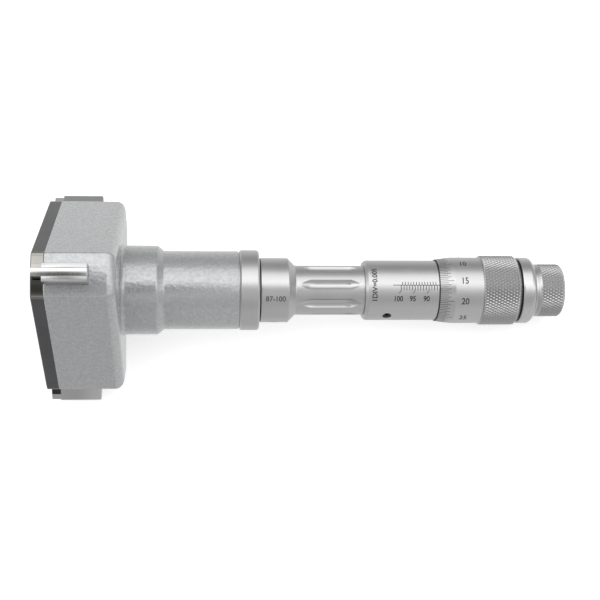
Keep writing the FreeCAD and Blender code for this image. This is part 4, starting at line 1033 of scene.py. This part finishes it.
def figures(name, labels, surface, height, width_share=0.84, weight=FIGURE_WEIGHT):
    """Figures of (text, station, degrees, reads round), cut small enough to follow the surface:
    the flat figure's (x, y) becomes (station + x, turn + y / radius), or for one that reads
    round the tool (station - y, turn + x / radius)."""
    all_places, all_faces, count = [], [], 0
    for text, station, degrees, reads_round in labels:
        curve = bpy.data.curves.new("figure", "FONT")
        curve.body, curve.size = text, height * TYPE_SIZE
        curve.align_x, curve.align_y = "CENTER", "CENTER"
        curve.offset = height * weight
        flat = bpy.data.objects.new("figure", curve)
        bpy.context.scene.collection.objects.link(flat)
        graph = bpy.context.evaluated_depsgraph_get()
        mesh = bpy.data.meshes.new_from_object(flat.evaluated_get(graph))
        form = bmesh.new()
        form.from_mesh(mesh)
        bmesh.ops.remove_doubles(form, verts=form.verts, dist=1e-6)
        for axis in range(2):
            reach = max(abs(vert.co[axis]) for vert in form.verts)
            normal = [0.0, 0.0, 0.0]
            normal[axis] = 1.0
            for cut in np.arange(-reach, reach, FIGURE_STEP)[1:]:
                at = [0.0, 0.0, 0.0]
                at[axis] = cut
                geometry = form.verts[:] + form.edges[:] + form.faces[:]
                bmesh.ops.bisect_plane(form, geom=geometry, plane_co=at, plane_no=normal,
                                       dist=1e-5)
        bmesh.ops.triangulate(form, faces=form.faces)
        form.verts.ensure_lookup_table()
        x = np.array([vert.co.x for vert in form.verts]) * width_share
        y = np.array([vert.co.y for vert in form.verts])
        x, y = x - (x.max() + x.min()) / 2, y - (y.max() + y.min()) / 2
        triangles = np.array([[vert.index for vert in face.verts] for face in form.faces])
        form.free()
        bpy.data.objects.remove(flat)
        along, across = (-y, x) if reads_round else (x, y)
        place = station + along
        turn = math.radians(degrees) + across / surface(place)
        top = round_tool(place, surface(place) + MARK_PROUD, turn)
        sunk = round_tool(place, surface(place) - MARK_SUNK, turn)
        edges = np.concatenate([triangles[:, [0, 1]], triangles[:, [1, 2]], triangles[:, [2, 0]]])
        total = len(x)
        once = ~np.isin(edges[:, 0] * total + edges[:, 1], edges[:, 1] * total + edges[:, 0])
        rim = edges[once]
        sides = np.concatenate([rim[:, [1, 0]], rim + total], axis=1)
        all_places += [top, sunk]
        all_faces += (triangles + count).tolist()
        all_faces += (triangles[:, ::-1] + total + count).tolist()
        all_faces += (sides + count).tolist()
        count += 2 * total
    return ragged_piece(name, np.concatenate(all_places), all_faces, fill)


def reading_station(reading):
    """The station of a reading: the zero's, plus the largest reading less this one."""
    return ZERO_STATION + LARGEST_READING - reading


turn_per_mm = math.degrees(1 / SLEEVE_RADIUS)
half_line = LINE_WIDTH / 2
line_turn = half_line * turn_per_mm
sleeve_lines = [(INDEX_START, INDEX_END, INDEX_TURN - line_turn, INDEX_TURN + line_turn, 0.0)]
for number in range(int(2 * (LARGEST_READING - SMALLEST_READING)) + 1):
    reading = LARGEST_READING - number / 2
    station = reading_station(reading)
    whole = number % 2 == 0
    end = INDEX_TURN + (-WHOLE_MARK if whole else HALF_MARK) * turn_per_mm
    sleeve_lines.append((station - half_line, station + half_line, INDEX_TURN, end, 0.0))
    if number % 10 == 0:
        sleeve_lines.append((station - half_line, station + half_line, end,
                             end - LEADER_ROUND * turn_per_mm, LEADER_SLANT))
sleeve_marks = line_marks("sleeve_lines", sleeve_lines, sleeve_surface)
sleeve_figures = figures("sleeve_figures", [
    (str(reading), reading_station(reading) - FIGURE_LEAD, FIGURE_TURN, False)
    for reading in (100, 95, 90)], sleeve_surface, FIGURE_HEIGHT)
legend = figures("sleeve_legend", [("1DIV=0.005", LEGEND_STATION, LEGEND_TURN, True)],
                 sleeve_surface, LEGEND_HEIGHT, LEGEND_WIDTH)
span = figures("measuring_span", [("87-100", SPAN_STATION, SPAN_TURN, False)],
               front_sleeve_surface, SPAN_HEIGHT, SPAN_WIDTH, SPAN_WEIGHT)
for marks in (sleeve_marks, sleeve_figures, legend, span):
    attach(marks, "frame")

division = 360.0 / DIVISIONS
thimble_turn = THIMBLE_LINE_WIDTH / 2 * math.degrees(1 / THIMBLE_RADIUS)
thimble_lines, thimble_labels = [], []
for number in range(DIVISIONS):
    turn = INDEX_TURN - (number - RESTING_DIVISION) * division
    reach = TENTH_MARK if number % 10 == 0 else EVEN_MARK if number % 2 == 0 else ODD_MARK
    thimble_lines.append((THIMBLE_EDGE + PAINTED_EDGE_SHADE, THIMBLE_EDGE + reach, turn - thimble_turn,
                          turn + thimble_turn, 0.0))
    if number % 10 == 0:
        thimble_labels.append((str(number // 2), FIGURE_STATION, turn, False))
thimble_marks = line_marks("thimble_lines", thimble_lines, thimble_surface)
thimble_figures = figures("thimble_figures", thimble_labels, thimble_surface,
                          THIMBLE_FIGURE_HEIGHT, THIMBLE_FIGURE_WIDTH, THIMBLE_FIGURE_WEIGHT)
for marks in (thimble_marks, thimble_figures):
    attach(marks, "thimble")


# The thimble is a turned shell, matt chromed, that carries the fine scale on its bevel. Its
# rear band is diamond knurled: two sets of crossing grooves rolled into the steel leave
# diamonds with flat tops.

THIMBLE_BORE = 10.95
EDGE_BORE = 11.12
EDGE_CHAMFER = 0.5
KNURL_START = 156.44
KNURL_RADIUS = 12.6
KNURL_END = 168.94
THIMBLE_BACK = 170.09
THIMBLE_BACK_DROP = 1.1
THIMBLE_WEB = 162.64
TAPER_FRONT = 6.22
TAPER_REAR = 5.62
DIAMONDS_ROUND = 70
DIAMOND_LENGTH = 2.1
DIAMOND_DEPTH = 0.38
DIAMOND_STEPS = 8
DIAMOND_FLAT = 0.26
BRIGHT_DARK = (0.54, 0.54, 0.545)
BRIGHT_LIGHT = (0.61, 0.61, 0.615)
BRIGHT_ROUGHNESS = 0.26


def knurled(station, turn, crest, around, length, depth):
    """The crest radius less the depth of the nearer groove. The grooves lie where u + v or
    u - v is whole, with u the station over the diamond's length and v the turn in diamonds,
    and their sides rise evenly until the flat top."""
    u, v = station / length, turn * around / (2 * math.pi)
    to_groove = [np.abs(family - np.round(family)) * 2 for family in (u + v, u - v)]
    rise = np.minimum(*to_groove) / (1 - DIAMOND_FLAT)
    return crest - depth * (1 - np.minimum(rise, 1.0))


def knurled_piece(name, profile, first, last, crest, around, length, depth, finish):
    """A profile spun about the spindle line. Between first and last its radius is the lesser
    of the profile's and the knurl's, so a bevelled end cuts across the diamonds."""
    rows = np.arange(first, last, length / DIAMOND_STEPS)
    profile = np.array(profile, dtype=float)
    outside = np.flatnonzero((profile[:, 0] > first) & (profile[:, 0] < last)
                             & (profile[:, 1] > crest - 1.0))
    kept = np.concatenate([profile[outside, 0], rows])
    band_station = np.unique(np.round(kept, 6))
    start, end = outside.min(), outside.max()
    rim = profile[start - 1:end + 2]
    band = np.stack([band_station, np.interp(band_station, rim[:, 0], rim[:, 1])], axis=1)
    profile = np.concatenate([profile[:start], band, profile[end + 1:]])
    turn = np.linspace(0.0, 2 * math.pi, around * DIAMOND_STEPS, endpoint=False)[None, :]
    station = profile[:, :1] + 0 * turn
    radius = profile[:, 1:] + 0 * turn
    cut = knurled(station - first, turn, crest, around, length, depth)
    on_band = np.zeros(len(profile), dtype=bool)
    on_band[start:start + len(band)] = True
    radius = np.where(on_band[:, None], np.minimum(radius, cut), radius)
    places = round_tool(station, radius, turn)
    closed = profile[0, 1] > 0
    return mesh_piece(name, places, quads(len(profile), turn.size, closed, True), finish)


bright = satin_chrome("bright_chrome", BRIGHT_DARK, BRIGHT_LIGHT, BRIGHT_ROUGHNESS)
# Painted shade: a near-black band at the thimble's front edge, and darker grooves between the
# knurl's diamonds.
thimble_satin = satin_chrome("thimble_satin_chrome", SATIN_DARK, SATIN_LIGHT, SATIN_ROUGHNESS, [
    (THIMBLE_EDGE - 0.1, THIMBLE_EDGE + PAINTED_EDGE_SHADE, THIMBLE_RADIUS, 0.4, PAINTED_CREVICE_SHADE),
    (KNURL_START + 0.2, KNURL_END, KNURL_RADIUS - 0.03, DIAMOND_DEPTH - 0.06, PAINTED_GROOVE_SHADE)])
thimble_profile = rounded([
    (THIMBLE_EDGE + EDGE_CHAMFER, THIMBLE_BORE, 0.0), (THIMBLE_EDGE, EDGE_BORE, 0.0),
    (THIMBLE_EDGE, THIMBLE_EDGE_RADIUS, 0.03),
    (BEVEL_END, THIMBLE_RADIUS, 0.5), (KNURL_START - 0.25, THIMBLE_RADIUS, 0.08),
    (KNURL_START - 0.05, THIMBLE_RADIUS - 0.15, 0.05), (KNURL_START + 0.1, KNURL_RADIUS - 0.3, 0.0),
    (KNURL_START + 0.4, KNURL_RADIUS, 0.12), (KNURL_END, KNURL_RADIUS, 0.25),
    (THIMBLE_BACK, KNURL_RADIUS - THIMBLE_BACK_DROP, 0.08), (THIMBLE_BACK, TAPER_REAR, 0.0),
    (THIMBLE_WEB, TAPER_FRONT, 0.0), (THIMBLE_WEB, THIMBLE_BORE, 0.0)])
thimble = knurled_piece("thimble_turned", thimble_profile, KNURL_START + 0.11, KNURL_END + 0.4,
                        KNURL_RADIUS, DIAMONDS_ROUND, DIAMOND_LENGTH, DIAMOND_DEPTH,
                        thimble_satin)
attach(thimble, "thimble")
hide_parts("thimble")


# A dark washer closes the thimble, and behind it turns the ratchet: a body with a polished
# flange and a rounded shoulder, and a knurled knob screwed over its tube.

WASHER_RADIUS = 11.2
WASHER_BORE = 6.05
WASHER_BACK = 170.59
FLANGE_START = 170.64
FLANGE_RADIUS = 12.05
FLANGE_END = 176.14
SHOULDER_LENGTH = 2.3
RATCHET_NECK_RADIUS = 9.2
KNOB_START = 176.89
TUBE_RADIUS = 7.6
TUBE_END = 184.24
RATCHET_BORE = 6.4
KNOB_BORE = 7.62
KNOB_RADIUS = 9.6
KNOB_END = 186.74
KNOB_WALL_FRONT = 185.04
KNOB_DIAMONDS = 53
KNOB_DIAMOND_LENGTH = 2.04
KNOB_DIAMOND_DEPTH = 0.34

washer = turned_piece("thimble_washer_black", rounded([
    (THIMBLE_BACK, WASHER_BORE, 0.0), (THIMBLE_BACK, WASHER_RADIUS, 0.08),
    (WASHER_BACK, WASHER_RADIUS, 0.08), (WASHER_BACK, WASHER_BORE, 0.0)]), oxide)
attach(washer, "thimble")
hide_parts("thimble_washer")

lean = np.linspace(0.0, math.pi / 2, 14)
shoulder = list(zip(FLANGE_END - SHOULDER_LENGTH * (1 - np.sin(lean)),
                    RATCHET_NECK_RADIUS + (FLANGE_RADIUS - RATCHET_NECK_RADIUS) * np.cos(lean)))
flange_profile = [(FLANGE_START, RATCHET_BORE), (FLANGE_START, FLANGE_RADIUS - 0.6),
                  (FLANGE_START, FLANGE_RADIUS - 0.3), (FLANGE_START + 0.08, FLANGE_RADIUS - 0.09),
                  (FLANGE_START + 0.3, FLANGE_RADIUS), (FLANGE_START + 0.6, FLANGE_RADIUS),
                  (FLANGE_END - SHOULDER_LENGTH - 0.3, FLANGE_RADIUS), *shoulder,
                  (FLANGE_END + 0.2, RATCHET_NECK_RADIUS), (KNOB_START, RATCHET_NECK_RADIUS),
                  (KNOB_START, TUBE_RADIUS), (TUBE_END, TUBE_RADIUS), (TUBE_END, RATCHET_BORE)]
ratchet = turned_piece("ratchet_body_polished", flange_profile, bright, columns=192)
knob_profile = rounded([
    (KNOB_WALL_FRONT, 0.0, 0.0), (KNOB_WALL_FRONT, KNOB_BORE, 0.0), (KNOB_START, KNOB_BORE, 0.0),
    (KNOB_START, RATCHET_NECK_RADIUS - 0.1, 0.06), (KNOB_START + 0.8, KNOB_RADIUS - 0.1, 0.1),
    (KNOB_START + 1.3, KNOB_RADIUS, 0.05), (KNOB_END - 0.8, KNOB_RADIUS, 0.1),
    (KNOB_END, KNOB_RADIUS - 0.8, 0.3), (KNOB_END, 0.0, 0.0)])
# Painted shade: the grooves between the knob's diamonds are coloured darker.
knob_satin = satin_chrome("knob_satin_chrome", SATIN_DARK, SATIN_LIGHT, SATIN_ROUGHNESS, [
    (KNOB_START + 1.4, KNOB_END - 0.8, KNOB_RADIUS - 0.03, KNOB_DIAMOND_DEPTH - 0.06,
     PAINTED_GROOVE_SHADE)])
knob = knurled_piece("ratchet_knob_knurled", knob_profile, KNOB_START + 1.4, KNOB_END - 0.5,
                     KNOB_RADIUS, KNOB_DIAMONDS, KNOB_DIAMOND_LENGTH, KNOB_DIAMOND_DEPTH,
                     knob_satin)
for piece, node in ((ratchet, "ratchet_body"), (knob, "ratchet_knob")):
    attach(piece, "ratchet")
    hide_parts(node)


# Inside, the spindle, the measuring cone and the push rod are ground steel, the bush and the
# nuts bronze, the springs hardened wire and strip, and the small screws black. Their solids
# have the right shape already and only get their finish.

SPRING_COLOUR = (0.32, 0.31, 0.3)
BRONZE_COLOUR = (0.52, 0.36, 0.17)


def worked_metal(name, dark, light, roughness, line):
    """Metal with fine marks across a line and a faint haze."""
    metal = Finish(name, light, roughness, 1.0)
    marks = metal.lines(line, 0.14)
    haze = metal.noise(3.0, detail=4.0)
    metal.set("Base Color", metal.mix((marks * 0.5 + haze * 0.5).between(0.3, 0.7), dark, light))
    metal.set("Roughness", roughness - 0.05 + haze * 0.1)
    metal.bump(marks, 0.003)
    return metal


FINISHES = (
    (worked_metal("ground_bright_steel", (0.5, 0.5, 0.5), (0.62, 0.62, 0.62), 0.22, spindle_line),
     ("measuring_cone", "push_rod", "thrust_ball", "spindle", "ratchet_disc", "ratchet_pawl")),
    (worked_metal("turned_bronze", (0.4, 0.26, 0.11), BRONZE_COLOUR, 0.32, spindle_line),
     ("guide_bush", "spindle_nut", "adjusting_nut")),
    (worked_metal("spring_steel", (0.22, 0.21, 0.21), SPRING_COLOUR, 0.3, far_side),
     ("rod_spring", "ratchet_spring", "return_spring_1", "return_spring_2", "return_spring_3")),
    (oxide, ("sleeve_grub_screw", "ratchet_screw")),
)
for finish, names in FINISHES:
    for name in names:
        node = frame["nodes"][name]
        if not node.material_slots:
            node.data.materials.append(finish.material)
        for slot in node.material_slots:
            slot.material = finish.material
